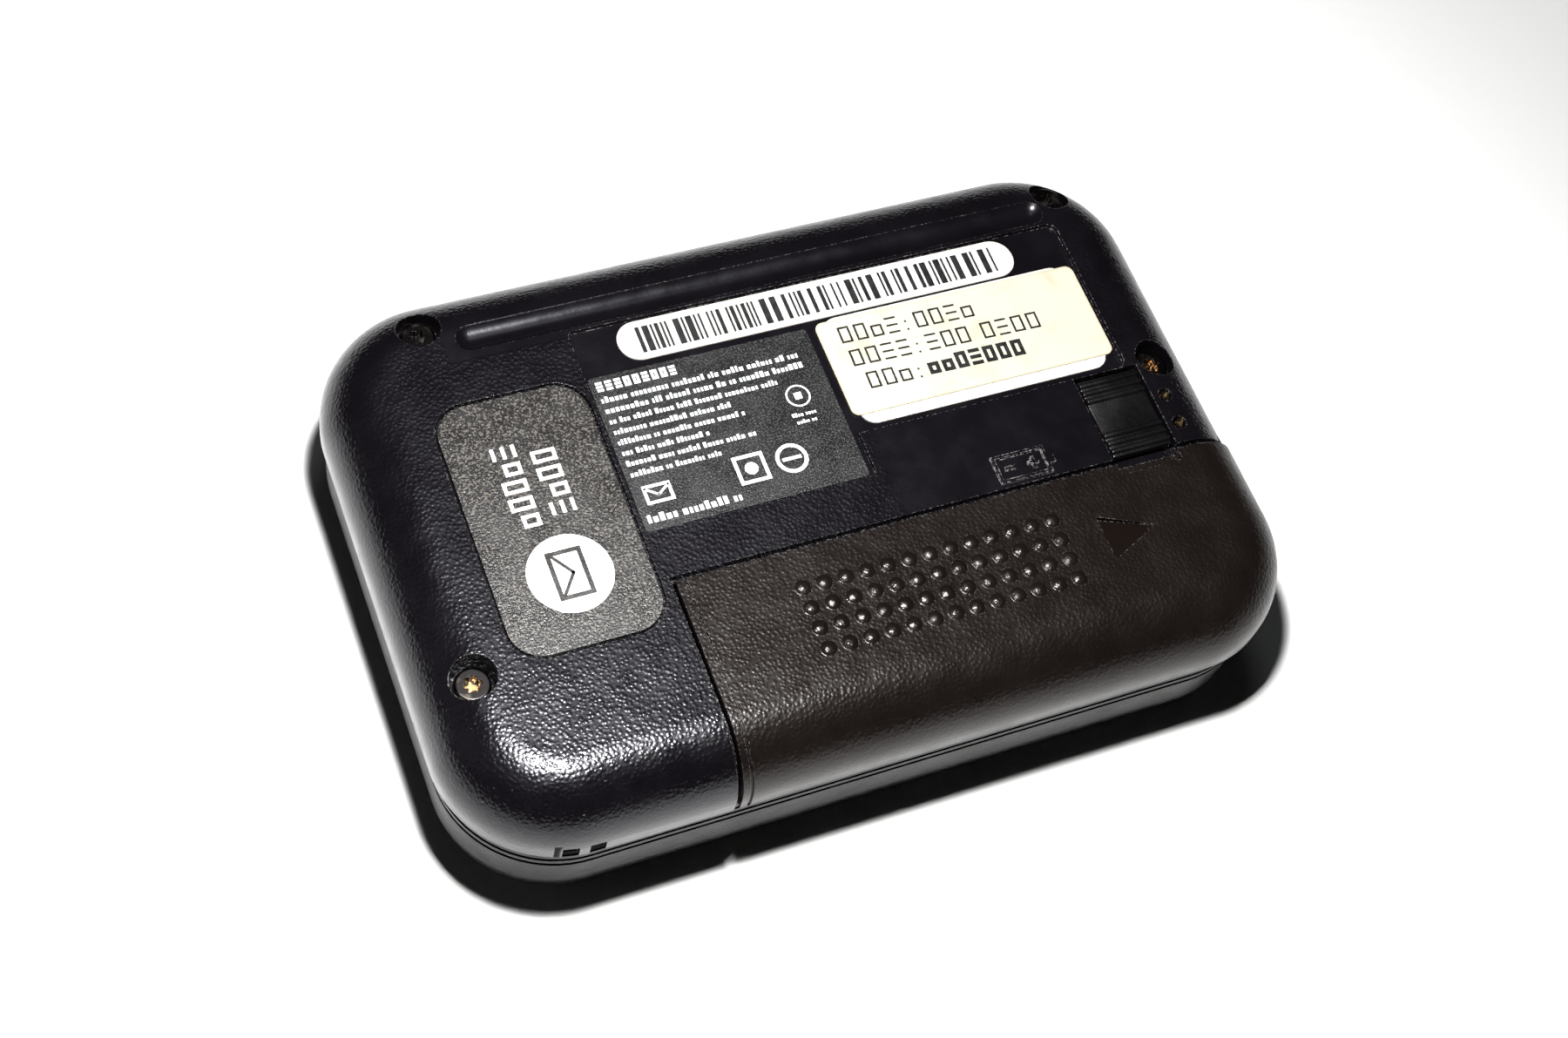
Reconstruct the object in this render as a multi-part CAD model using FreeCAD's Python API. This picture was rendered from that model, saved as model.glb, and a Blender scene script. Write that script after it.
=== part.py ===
"""Pocket pager with a sliding battery door, lying on its front with its back up.

Millimetres. +X runs along the case towards the end that the battery door slides off,
+Y runs across the case away from the battery, +Z points out of the back.
The origin is under the middle of the case, on the plane of the front rim.
"""
import FreeCAD, Part
import math
import os

from FreeCAD import Vector

# ---------------------------------------------------------------- case sizes
case_length = 80.0
case_width = 53.5
rear_depth = 7.3
corner_radius = 11.0
back_roll = 6.0
rear_wall = 1.5
door_proud = 0.4

front_inset = 0.5
front_wall = 1.2
front_roll = 4.5
roll_room = 0.8
rim_height = 0.5
rim_width = 1.1
shell_gap = 0.15

side_groove_count = 3
side_groove_pitch = 1.0
side_groove_width = 0.45
side_groove_depth = 0.35

# ------------------------------------------------------- standard AA cell
cell_diameter = 14.5
cell_can_length = 49.5
cell_nub_length = 1.0
cell_nub_diameter = 5.5
jacket_thickness = 0.15
cell_clearance = 0.15

# ------------------------------------------------------------ battery door
door_wall = 1.25
door_gap = 0.15
door_ledge = 0.5
door_room = 0.1
reveal_width = 0.35
reveal_depth = 0.8
roof_overlap = 1.2
bay_wall = 1.0
bay_near_wall = 0.9
bay_floor = 0.5
bay_side_room = 0.6
spring_space = 2.0
contact_plate = 0.3
door_tongue = 1.0
tongue_height = 0.6
tongue_drop = 0.6
groove_wall = 0.6
door_flange = 0.8
rail_height = 0.7
rail_reach = 0.75
slot_clearance = 0.15

bump_rows = 4
bump_columns = 13
bump_pitch = 2.0
bump_diameter = 1.5
bump_height = 0.3
bump_inset_left = 10.3
bump_inset_far = 3.65
arrow_length = 5.0
arrow_width = 4.4
arrow_depth = 0.6
arrow_tip_depth = 0.1
arrow_inset_right = 17.9

# -------------------------------------------------------------- door latch
latch_length = 8.3
latch_width = 6.0
latch_inset_right = 10.5
latch_travel = 1.6
latch_side_gap = 0.3
latch_rib_count = 3
latch_rib_pitch = 0.85
latch_rib_height = 0.3
latch_bite = 0.75
latch_foot_length = 3.2
latch_foot_reach = 0.9
latch_foot_height = 1.0
detent_width = 1.6
detent_thickness = 0.2

# ------------------------------------------------------- labels and badge
recess_depth = 0.45
recess_inset_right = 8.1
recess_inset_far = 8.6
recess_length = 49.1
recess_past_slot = 0.05
recess_arm_length = 21.8
recess_arm_from_door = 5.05
label_thickness = 0.12
label_margin = 0.2
badge_length = 25.0
badge_width = 13.6
badge_radius = 3.0
badge_thickness = 0.6
badge_gap = 0.3
badge_inset_left = 15.4
badge_y = 0.7
barcode_length = 39.6
barcode_width = 4.1
serial_length = 26.6
serial_margins = (1.8, 0.55)
under_label_length = 25.0
under_label_margins = (0.7, 0.25)

# --------------------------------------------------------------- fasteners
screw_left_far = (10.3, 4.65)
screw_right_far = (6.8, 5.05)
screw_left_near = (4.8, 38.55)
screw_middle_inset = 4.9
screw_past_port = 4.1
screw_head_diameter = 3.2
screw_head_height = 1.2
screw_shank_diameter = 2.0
screw_length = 9.0
screw_sink = 1.6
screw_clearance = 0.1
counterbore_diameter = 4.0
boss_radius = 2.6

# ------------------------------------------------- contact ports in the back
port_inset_right = 5.9
port_offsets = (5.65, 2.55)
port_diameter = 1.35
pin_diameter = 1.0
pin_seat = 2.0

# ------------------------------------------------------- grooves in the back
edge_groove_radius = 1.8
edge_groove_depth = 0.6
edge_groove_inset = 6.9
edge_groove_start = 14.4
edge_groove_finish = 10.0
strap_inset_left = 8.1
strap_slot_length = 1.4
strap_slot_pitch = 2.3
strap_slot_height = 1.6
mark_length = 5.2
mark_width = 2.8
mark_line = 0.32
mark_height = 0.2

# -------------------------------------------------------------------- keys
key_travel = 0.5
key_gap = 0.15
key_flange = 0.6
key_flange_thickness = 0.5
key_below_rim = 0.1
pad_inset_left = 12.5
pad_y = 0.0
pad_reach = 6.2
pad_key_size = 4.2
select_diameter = 5.0
soft_key_length = 8.0
soft_key_width = 3.4
soft_key_offset = 14.6
sound_hole_count = 5
sound_hole_pitch = 2.0
sound_hole_diameter = 1.0
sound_hole_inset = 7.85

# ----------------------------------------------------------------- display
lens_length = 48.5
lens_inset_right = 9.0
lens_inset_far = 7.15
lens_setback = 1.25
lens_thickness = 0.8
lens_gap = 0.1
lens_ledge = 1.6
glass_thickness = 2.0
backlight_thickness = 0.9
frame_wall = 1.0

# ------------------------------------------------------------------ boards
board_thickness = 1.0
board_gap = 0.3
logic_height = 5.7
receiver_thickness = 0.8
board_space = 3.0
receiver_length = 40.0
receiver_inset_right = 15.0
receiver_inset_far = 7.25
receiver_setback = 1.85
chip_height = 1.2

# --------------------------------------------------------- vibration motor
motor_inset_left = 7.0
motor_inset_far = 14.75
motor_length = 9.0
motor_radius = 2.2
shaft_radius = 0.4
shaft_clearance = 0.05
weight_radius = 2.3
weight_length = 3.2
sounder_radius = 5.4
sounder_inset = 9.15

# ------------------------------------------------------------ worked-out sizes
half_length = case_length / 2
half_width = case_width / 2
housing_end = half_length - door_proud
face_height = rim_height
face_inner = face_height + front_wall
cavity_inset = front_inset + front_wall
cell_radius = cell_diameter / 2
bay_radius = cell_radius + cell_clearance
bay_bottom = face_inner + cell_clearance
cell_y = -half_width + cavity_inset + bay_side_room + bay_near_wall + bay_radius
cell_z = bay_bottom + bay_floor + bay_radius
bay_near_y = cell_y - bay_radius
bay_far_y = cell_y + bay_radius
back_height = cell_z + bay_radius + door_room + door_wall
seam_height = back_height - rear_depth
roof_under = back_height - rear_wall
door_under = back_height - door_wall
door_far = bay_far_y + door_ledge
corner_room = corner_radius - cavity_inset - shell_gap
cell_corner = half_width - corner_radius + cell_y - cell_radius
cell_end_x = half_length - corner_radius + math.sqrt(corner_room ** 2 - cell_corner ** 2)
cell_start_x = cell_end_x - cell_can_length
bay_start_x = cell_start_x - spring_space
bay_end_x = cell_end_x + cell_nub_length + contact_plate + 0.05
door_left = bay_start_x + roof_overlap
tongue_top = roof_under - tongue_drop
tongue_bottom = tongue_top - tongue_height
groove_bottom = tongue_bottom - slot_clearance
far_wall_top = groove_bottom - slot_clearance
near_rail_bottom = seam_height + 1.7
near_tongue_top = near_rail_bottom - slot_clearance
near_tongue_bottom = near_tongue_top - tongue_height
latch_x = half_length - latch_inset_right
latch_top = back_height - 0.25
latch_near = door_far + 0.85
latch_far = latch_near + latch_length
latch_under = door_under + 0.1 + slot_clearance
foot_near = latch_near + 2.8
foot_top = roof_under - slot_clearance
foot_bottom = foot_top - latch_foot_height
detent_root = latch_far + latch_side_gap + 1.6
recess_right = half_length - recess_inset_right
recess_left = recess_right - recess_length
recess_far = half_width - recess_inset_far
recess_near = latch_far + latch_side_gap + recess_past_slot
recess_arm_near = door_far + recess_arm_from_door
barcode_far = recess_far - label_margin
barcode_near = barcode_far - barcode_width
badge_x = -half_length + badge_inset_left
port_x = half_length - port_inset_right
port_y = tuple(door_far + offset for offset in port_offsets)
screw_places = ((-half_length + screw_left_far[0], half_width - screw_left_far[1]),
                (half_length - screw_right_far[0], half_width - screw_right_far[1]),
                (-half_length + screw_left_near[0], half_width - screw_left_near[1]),
                (half_length - screw_middle_inset, max(port_y) + screw_past_port))
screw_head_top = back_height - screw_sink
screw_seat = screw_head_top - screw_head_height
block_top = foot_bottom - 2.4
pin_top = roof_under - 0.1
pad_x = -half_length + pad_inset_left
sound_hole_y = -half_width + sound_hole_inset
board_near = bay_far_y + bay_wall + board_gap
lens_right = half_length - lens_inset_right
lens_left = lens_right - lens_length
lens_far = half_width - lens_inset_far
lens_near = board_near + lens_setback
logic_top = logic_height + board_thickness
receiver_height = logic_top + board_space
receiver_top = receiver_height + receiver_thickness
receiver_right = half_length - receiver_inset_right
receiver_left = receiver_right - receiver_length
receiver_far = half_width - receiver_inset_far
receiver_near = board_near + receiver_setback
motor_x0 = -half_length + motor_inset_left
motor_x1 = motor_x0 + motor_length
motor_y = half_width - motor_inset_far
motor_z = logic_top + 0.9 + motor_radius
weight_x0 = motor_x1 + 0.8
weight_x1 = weight_x0 + weight_length


# --------------------------------------------------------------- basic shapes
def box(x0, x1, y0, y1, z0, z1):
    return Part.makeBox(x1 - x0, y1 - y0, z1 - z0, Vector(x0, y0, z0))


def rod(radius, x, y, z0, z1):
    return Part.makeCylinder(radius, z1 - z0, Vector(x, y, z0), Vector(0, 0, 1))


def rod_along_x(radius, x0, x1, y, z):
    return Part.makeCylinder(radius, x1 - x0, Vector(x0, y, z), Vector(1, 0, 0))


def round_rectangle(x0, x1, y0, y1, z, radii):
    """Closed wire of a rectangle whose corners start at (x1, y1) and go anticlockwise."""
    corners = ((x1, y1, 0), (x0, y1, 90), (x0, y0, 180), (x1, y0, 270))
    inward = ((-1, -1), (1, -1), (1, 1), (-1, 1))
    arcs = []
    for (x, y, start), (sx, sy), radius in zip(corners, inward, radii):
        centre = Vector(x + sx * radius, y + sy * radius, z)
        points = []
        for turn in (0, 45, 90):
            angle = math.radians(start + turn)
            points.append(centre + Vector(math.cos(angle), math.sin(angle), 0) * radius)
        arcs.append(points)
    edges = []
    for index, points in enumerate(arcs):
        following = arcs[(index + 1) % len(arcs)]
        edges.append(Part.Arc(*points).toShape())
        edges.append(Part.LineSegment(points[2], following[0]).toShape())
    return Part.Wire(edges)


def round_plate(x0, x1, y0, y1, z0, z1, radius):
    wire = round_rectangle(x0, x1, y0, y1, z0, (radius,) * 4)
    return Part.Face(wire).extrude(Vector(0, 0, z1 - z0))


def prism(points, z0, z1):
    corners = [Vector(x, y, z0) for x, y in points]
    wire = Part.makePolygon(corners + corners[:1])
    return Part.Face(wire).extrude(Vector(0, 0, z1 - z0))


def case_slab(inset, z0, z1, end=housing_end):
    """Prism of the case's outline, moved inwards by inset."""
    radius = corner_radius - inset
    return round_plate(-half_length + inset, end - inset, -half_width + inset,
                       half_width - inset, z0, z1, radius)


def edges_at(shape, z):
    return [edge for edge in shape.Edges if all(abs(v.Z - z) < 1e-6 for v in edge.Vertexes)]


def rolled_back(inset, z0, end=housing_end):
    """The rear half of the case as a solid, its back edge rolled over."""
    top = back_height - inset
    slab = case_slab(inset, z0, top, end)
    return slab.makeFillet(back_roll - inset, edges_at(slab, top))


def rolled_front(inset, z0, z1, roll, end=housing_end):
    """The front half of the case as a solid, its front edge rolled over."""
    slab = case_slab(inset, z0, z1, end)
    return slab.makeFillet(roll, edges_at(slab, z0))


def door_zone(gap):
    """The block of space that the battery door takes from the back of the case."""
    return box(door_left - gap, half_length + 5, -half_width - 5, door_far + gap,
               seam_height - 5, back_height + 5)


def fuse_all(shapes):
    return shapes[0].multiFuse(shapes[1:]).removeSplitter()


# ------------------------------------------------------------- case shells
def battery_bay():
    """Round-bottomed trough for the cell, its end walls, and the rails that hold the door."""
    start = bay_start_x - bay_wall
    end = bay_end_x + bay_wall
    trough = box(start, end, bay_near_y - bay_near_wall, bay_far_y + bay_wall,
                 bay_bottom, far_wall_top)
    low_edges = [e for e in edges_at(trough, bay_bottom) if e.BoundBox.XLength > bay_wall * 5]
    trough = trough.makeFillet(bay_radius - bay_wall, low_edges)
    far_wall = box(start, housing_end, bay_far_y, bay_far_y + bay_wall, cell_z, far_wall_top)
    room = rolled_front(cavity_inset + shell_gap, face_inner + 0.05, seam_height + 1,
                        front_roll - front_wall - roll_room)
    room = room.fuse(rolled_back(door_wall + slot_clearance + 0.05, seam_height + shell_gap))
    trough = trough.fuse(far_wall).common(room)
    low_near = box(door_left - door_gap, half_length, -half_width, cell_y,
                   near_rail_bottom + rail_height, back_height)
    trough = trough.cut(low_near)
    bulkhead = box(start, bay_start_x, -half_width, bay_far_y + bay_wall, cell_z, back_height)
    groove_far = door_far + door_gap + door_tongue
    rail_block = box(start, housing_end, door_far + door_gap, groove_far + groove_wall,
                     far_wall_top - 2 * bay_wall, back_height)
    shelf = box(start, housing_end - rear_wall, bay_far_y, groove_far + groove_wall,
                far_wall_top - 2 * bay_wall, far_wall_top - bay_wall)
    under_skin = rolled_back(rear_wall / 2, seam_height + shell_gap)
    top_parts = bulkhead.fuse(rail_block).common(under_skin)
    bay = fuse_all([trough, top_parts, shelf.common(under_skin)])
    well = rod_along_x(bay_radius, bay_start_x, bay_end_x, cell_y, cell_z)
    mouth = box(bay_start_x, bay_end_x, bay_near_y, bay_far_y, cell_z, roof_under)
    bay = bay.cut(well).cut(mouth)
    rail = box(door_left + 2, cell_end_x - 7, bay_near_y - bay_near_wall - rail_reach,
               bay_near_y - bay_near_wall / 2, near_rail_bottom, near_rail_bottom + rail_height)
    return bay.fuse(rail)


def rail_groove():
    """Groove under the roof's edge that the door's far tongue slides in."""
    return box(door_left - door_gap - 0.5, half_length + 5, door_far - door_flange,
               door_far + door_gap + door_tongue, groove_bottom, tongue_top + slot_clearance)


def label_recess():
    """Floor of the label recess, a wide field with a deeper arm for the rating label."""
    field = round_plate(recess_left, recess_right, recess_near, recess_far,
                        back_height - recess_depth, back_height + 1, 1.0)
    arm = round_plate(recess_left, recess_left + recess_arm_length, recess_arm_near, recess_far,
                      back_height - recess_depth, back_height + 1, 0.6)
    return field.fuse(arm)


def latch_slot():
    half = latch_width / 2 + latch_side_gap
    return box(latch_x - half, latch_x + half, door_far, latch_far + latch_side_gap,
               roof_under, back_height + 1)


def screw_bore(x, y):
    """Counterbore, seat and clearance hole of one case screw."""
    head = rod(counterbore_diameter / 2, x, y, screw_seat, back_height + 1)
    shank = rod(screw_shank_diameter / 2 + screw_clearance, x, y, seam_height - 1, screw_seat)
    return head.fuse(shank)


def edge_groove():
    """Long ball-ended groove beside the far edge of the back."""
    y = half_width - edge_groove_inset
    z = back_height + edge_groove_radius - edge_groove_depth
    left = -half_length + edge_groove_start
    right = half_length - edge_groove_finish
    groove = rod_along_x(edge_groove_radius, left, right, y, z)
    ends = []
    for x in (left, right):
        ends.append(Part.makeSphere(edge_groove_radius, Vector(x, y, z)))
    return groove.multiFuse(ends)


def strap_notches():
    """Two small openings above the seam that a wrist strap is threaded through."""
    notches = []
    for index in range(2):
        x = -half_length + strap_inset_left + index * strap_slot_pitch
        notches.append(box(x, x + strap_slot_length, -half_width - 1, -half_width + 2 * rear_wall,
                           seam_height - 1, seam_height + strap_slot_height))
    return notches


def door_reveal():
    """Shallow step in the back all along the door, that leaves a dark line."""
    skin = rolled_back(-0.5, seam_height - 1, half_length)
    skin = skin.cut(rolled_back(reveal_depth, seam_height - 2, half_length))
    left = door_left - door_gap - reveal_width
    far = door_far + door_gap + reveal_width
    beside = box(left, door_left, -half_width - 1, far, seam_height - 1, back_height + 1)
    beyond = box(left, half_length + 1, door_far - 0.1, far, seam_height - 1, back_height + 1)
    return skin.common(beside.fuse(beyond))


def battery_mark():
    """Raised outline of a cell with plus and minus strokes, beside the door."""
    left = latch_x - 14.4
    right = left + mark_length
    near = door_far + 0.95
    far = near + mark_width
    half = mark_line / 2
    z0 = back_height - 0.2
    z1 = back_height + mark_height
    middle = (near + far) / 2
    outer = box(left, right, near, far, z0, z1)
    inner = box(left + mark_line, right - mark_line, near + mark_line, far - mark_line,
                z0 - 1, z1 + 1)
    strokes = [outer.cut(inner)]
    strokes.append(box(right - 0.05, right + 0.6, middle - 0.6, middle + 0.6, z0, z1))
    strokes.append(box(left + 0.9, left + 1.9, middle - half, middle + half, z0, z1))
    strokes.append(box(right - 2.0, right - 0.9, middle - half, middle + half, z0, z1))
    strokes.append(box(right - 1.45 - half, right - 1.45 + half, middle - 0.55, middle + 0.55,
                       z0, z1))
    return strokes


def gasket_ring(clearance):
    """Sealing cord between the two shells, open where the door takes the rim's place."""
    inner = (front_inset + rear_wall) / 2
    half = 0.25 + clearance
    ring = case_slab(inner - half, seam_height - 0.3 - clearance, seam_height + 0.3 + clearance)
    ring = ring.cut(case_slab(inner + half, seam_height - 1, seam_height + 1))
    return ring.cut(door_zone(door_gap + 2 * bay_wall - clearance))


def rear_housing():
    skin = rolled_back(0, seam_height).cut(rolled_back(rear_wall, seam_height - 1))
    body = skin.cut(door_zone(door_gap))
    solids = [body, battery_bay()]
    inside = rolled_back(rear_wall / 2, seam_height)
    for x, y in screw_places:
        boss = rod(boss_radius, x, y, seam_height + shell_gap, back_height)
        solids.append(boss.common(inside))
    solids += battery_mark()
    solids.append(detent_post())
    body = fuse_all(solids)
    cuts = [rail_groove(), label_recess(), latch_slot(), edge_groove(), gasket_ring(0.03)]
    half_x = badge_width / 2 + badge_gap
    half_y = badge_length / 2 + badge_gap
    cuts.append(round_plate(badge_x - half_x, badge_x + half_x, badge_y - half_y, badge_y + half_y,
                            back_height - badge_thickness - 0.05, back_height + 1,
                            badge_radius + badge_gap))
    cuts += [screw_bore(x, y) for x, y in screw_places]
    cuts += [rod(port_diameter / 2, port_x, y, roof_under - 1, back_height + 1) for y in port_y]
    cuts += strap_notches()
    cuts.append(door_reveal())
    for cutter in cuts:
        body = body.cut(cutter)
    return body.removeSplitter()


def key_outlines():
    """Name, kind and centre of each key."""
    keys = {"key_up": ("arrow", 0, 1), "key_down": ("arrow", 0, -1),
            "key_left": ("arrow", 1, 0), "key_right": ("arrow", -1, 0),
            "key_select": ("round", 0, 0),
            "key_menu": ("soft", 0, 1), "key_read": ("soft", 0, -1)}
    return keys


def key_prism(kind, dx, dy, grow, z0, z1):
    """Outline of one key, widened by grow on every side."""
    if kind == "round":
        return rod(select_diameter / 2 + grow, pad_x, pad_y, z0, z1)
    if kind == "arrow":
        x = pad_x + dx * pad_reach
        y = pad_y + dy * pad_reach
        half_x = pad_key_size / 2 if dx == 0 else pad_key_size / 2 - 0.5
        half_y = pad_key_size / 2 if dy == 0 else pad_key_size / 2 - 0.5
        radius = 0.8
    else:
        x = pad_x
        y = pad_y + dy * soft_key_offset
        half_x = soft_key_length / 2
        half_y = soft_key_width / 2
        radius = soft_key_width / 2 - 0.1
    return round_plate(x - half_x - grow, x + half_x + grow, y - half_y - grow,
                       y + half_y + grow, z0, z1, radius + grow)


def front_housing():
    outer = rolled_front(front_inset, 0, seam_height, front_roll)
    cavity = rolled_front(cavity_inset, face_inner, seam_height + 1,
                          front_roll - front_wall - roll_room)
    body = outer.cut(cavity)
    rim_inner = front_inset + front_roll + rim_width
    body = body.cut(case_slab(rim_inner, -1, face_height))
    for index in range(side_groove_count):
        z = seam_height - side_groove_pitch * (index + 1)
        band = case_slab(front_inset - 1, z - side_groove_width / 2, z + side_groove_width / 2)
        core = case_slab(front_inset + side_groove_depth, z - 1, z + 1)
        body = body.cut(band.cut(core))
    bosses = []
    inside = rolled_front(front_inset + front_wall / 2, face_inner - 0.1, seam_height,
                          front_roll - front_wall - roll_room)
    for x, y in screw_places:
        boss = rod(boss_radius, x, y, face_inner - 0.1, seam_height - shell_gap)
        bosses.append(boss.common(inside))
    body = fuse_all([body] + bosses)
    pocket = round_plate(lens_left - lens_gap, lens_right + lens_gap, lens_near - lens_gap,
                         lens_far + lens_gap, face_height - 1, face_height + lens_thickness + 0.05, 2.0)
    window = round_plate(lens_left + lens_ledge, lens_right - lens_ledge, lens_near + lens_ledge,
                         lens_far - lens_ledge, face_height, face_inner + 1, 1.0)
    body = body.cut(pocket).cut(window)
    for kind, dx, dy in key_outlines().values():
        body = body.cut(key_prism(kind, dx, dy, key_gap, -1, face_inner + 0.05))
    for index in range(sound_hole_count):
        x = pad_x + (index - (sound_hole_count - 1) / 2) * sound_hole_pitch
        body = body.cut(rod(sound_hole_diameter / 2, x, sound_hole_y, -1, face_inner + 1))
    for x, y in screw_places:
        depth = screw_seat - screw_length - 0.5
        body = body.cut(rod(screw_shank_diameter / 2 + 0.04, x, y, depth, seam_height + 1))
    return body.cut(gasket_ring(0.03)).removeSplitter()


# ------------------------------------------------------------ battery door
def battery_door():
    outer = rolled_back(0, seam_height + door_gap, half_length)
    inner = rolled_back(door_wall, seam_height - 1, half_length)
    door = outer.cut(inner).common(door_zone(0))
    solids = [door]
    tongue_end = half_length - corner_radius
    solids.append(box(door_left + 0.5, tongue_end, door_far - door_flange, door_far,
                      tongue_bottom, door_under + 0.1))
    solids.append(box(door_left + 0.5, tongue_end, door_far - 0.1, door_far + door_tongue,
                      tongue_bottom, tongue_top))
    solids.append(box(door_left + 3, cell_end_x - 8, -half_width + door_wall - 0.1,
                      bay_near_y - bay_near_wall - slot_clearance,
                      near_tongue_bottom, near_tongue_top))
    sphere_radius = (bump_diameter ** 2 / 4 + bump_height ** 2) / (2 * bump_height)
    for row in range(bump_rows):
        for column in range(bump_columns):
            x = door_left + bump_inset_left + column * bump_pitch
            y = door_far - bump_inset_far - row * bump_pitch
            centre = Vector(x, y, back_height + bump_height - sphere_radius)
            ball = Part.makeSphere(sphere_radius, centre)
            solids.append(ball.common(box(x - 1, x + 1, y - 1, y + 1, back_height - 0.2, back_height + 1)))
    door = fuse_all(solids)
    arrow_x = half_length - arrow_inset_right
    arrow_y = door_far - bump_inset_far - bump_pitch * (bump_rows - 1) / 2
    arrow = prism(((arrow_x, arrow_y + arrow_width / 2), (arrow_x + arrow_length, arrow_y),
                   (arrow_x, arrow_y - arrow_width / 2)), back_height - arrow_depth, back_height + 1)
    slope = math.atan2(arrow_depth - arrow_tip_depth, arrow_length)
    ramp = box(arrow_x, arrow_x + 2 * arrow_length, arrow_y - arrow_width, arrow_y + arrow_width,
               back_height - arrow_depth - 5, back_height - arrow_depth)
    ramp.rotate(Vector(arrow_x, arrow_y, back_height - arrow_depth), Vector(0, 1, 0),
                -math.degrees(slope))
    arrow = arrow.cut(ramp)
    rim = outer.cut(rolled_back(0.25, seam_height - 1, half_length))
    rim = rim.common(box(door_left + 0.65, door_left + 0.95, -half_width - 1, door_far + 1,
                         seam_height, back_height + 1))
    half = latch_width / 2 + latch_side_gap / 2
    notch = box(latch_x - half, latch_x + half, door_far - latch_bite - 0.35, door_far + 1,
                door_under + 0.1, back_height + 1)
    return door.cut(arrow).cut(rim).cut(notch).removeSplitter()


def door_latch():
    """Ribbed thumb slide with a foot that runs under the roof."""
    half = latch_width / 2
    foot_far = foot_near + latch_foot_length
    top = box(latch_x - half, latch_x + half, latch_near, latch_far, latch_under, latch_top)
    neck = box(latch_x - half, latch_x + half, foot_near, foot_far, foot_top, latch_under)
    foot = box(latch_x - half - latch_foot_reach, latch_x + half + latch_foot_reach,
               foot_near, foot_far, foot_bottom, foot_top)
    solids = [top, neck, foot]
    rib_radius = latch_rib_pitch * 0.36
    for index in range(latch_rib_count):
        offset = 0.55 + index * latch_rib_pitch
        for y in (latch_near + offset, latch_far - offset):
            rib = rod_along_x(rib_radius, latch_x - half, latch_x + half, y,
                              latch_top + latch_rib_height - rib_radius)
            solids.append(rib)
    return fuse_all(solids)


def latch_spring():
    """Cantilever leaf whose hump clicks under the latch's foot in its two positions."""
    top = foot_bottom - slot_clearance
    tip = foot_near - latch_travel + 0.3
    hump = (tip + detent_root) / 2
    rise = 0.5
    upper = ((detent_root, -rise), (hump + 1.2, -rise), (hump + 0.4, 0), (hump - 0.4, 0),
             (hump - 1.2, -rise), (tip, -rise))
    lower = [(y, z - detent_thickness) for y, z in reversed(upper)]
    x0 = latch_x - detent_width / 2
    points = [Vector(x0, y, top + z) for y, z in list(upper) + lower]
    profile = Part.Face(Part.makePolygon(points + points[:1]))
    return profile.extrude(Vector(detent_width, 0, 0))


def detent_post():
    """Post under the roof that the detent leaf is staked to."""
    z0 = foot_bottom - slot_clearance - 0.5
    return box(latch_x - detent_width / 2, latch_x + detent_width / 2,
               detent_root - 1.0, detent_root, z0, roof_under + 0.2)


# ---------------------------------------------------------------- the cell
def battery_cell():
    """Steel can with its crimped shoulder and terminal nub."""
    radius = cell_radius - jacket_thickness
    can = rod_along_x(radius, cell_start_x, cell_end_x, cell_y, cell_z)
    can = can.makeFillet(0.5, [e for e in can.Edges if e.Length > radius * 4])
    nub = rod_along_x(cell_nub_diameter / 2, cell_end_x - 0.1, cell_end_x + cell_nub_length,
                      cell_y, cell_z)
    step = rod_along_x(radius - 1.6, cell_end_x - 0.1, cell_end_x + 0.25, cell_y, cell_z)
    return fuse_all([can, nub, step])


def cell_jacket():
    radius = cell_radius - jacket_thickness
    sleeve = rod_along_x(cell_radius, cell_start_x + 0.6, cell_end_x - 0.6, cell_y, cell_z)
    return sleeve.cut(rod_along_x(radius, cell_start_x, cell_end_x, cell_y, cell_z))


def positive_contact():
    """Flat plate against the end wall of the bay, with a tail to the board."""
    x0 = bay_end_x - contact_plate
    plate = box(x0, bay_end_x, cell_y - 3.5, cell_y + 3.5, cell_z - 3.5, cell_z + 3.5)
    hole = rod_along_x(0.6, x0 - 1, bay_end_x + 1, cell_y, cell_z - 2.4)
    return plate.cut(hole)


def negative_contact():
    """Plate with a bent leaf that presses on the flat end of the can."""
    plate = box(bay_start_x, bay_start_x + contact_plate, cell_y - 3.5, cell_y + 3.5,
                cell_z - 4, cell_z + 4)
    reach = spring_space - 0.1
    half = 1.6
    points = []
    for x, z in ((contact_plate - 0.05, -3.4), (reach - 0.25, -0.4), (reach, 0.3), (reach - 0.25, 1.0),
                 (reach - 0.9, 2.2), (reach - 1.15, 2.0), (reach - 0.55, 0.9), (reach - 0.3, 0.3),
                 (reach - 0.55, -0.2), (contact_plate - 0.05, -3.0)):
        points.append(Vector(bay_start_x + x, cell_y - half, cell_z + z))
    leaf = Part.Face(Part.makePolygon(points + points[:1])).extrude(Vector(0, 2 * half, 0))
    return plate.fuse(leaf).removeSplitter()


# ------------------------------------------------------ labels and fasteners
def badge_plate():
    return round_plate(badge_x - badge_width / 2, badge_x + badge_width / 2,
                       badge_y - badge_length / 2, badge_y + badge_length / 2,
                       back_height - badge_thickness - 0.05, back_height - 0.05, badge_radius)


def label(x0, x1, y0, y1, layer, radius):
    z = back_height - recess_depth + layer * label_thickness
    return round_plate(x0, x1, y0, y1, z, z + label_thickness, radius)


def rating_label():
    return label(recess_left + label_margin, recess_left + recess_arm_length - 0.5,
                 recess_arm_near + label_margin + 0.05, barcode_near - 0.7, 0, 0.4)


def barcode_label():
    left = recess_left + 4.1
    return label(left, left + barcode_length, barcode_near, barcode_far, 0,
                 barcode_width / 2 - 0.05)


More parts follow.
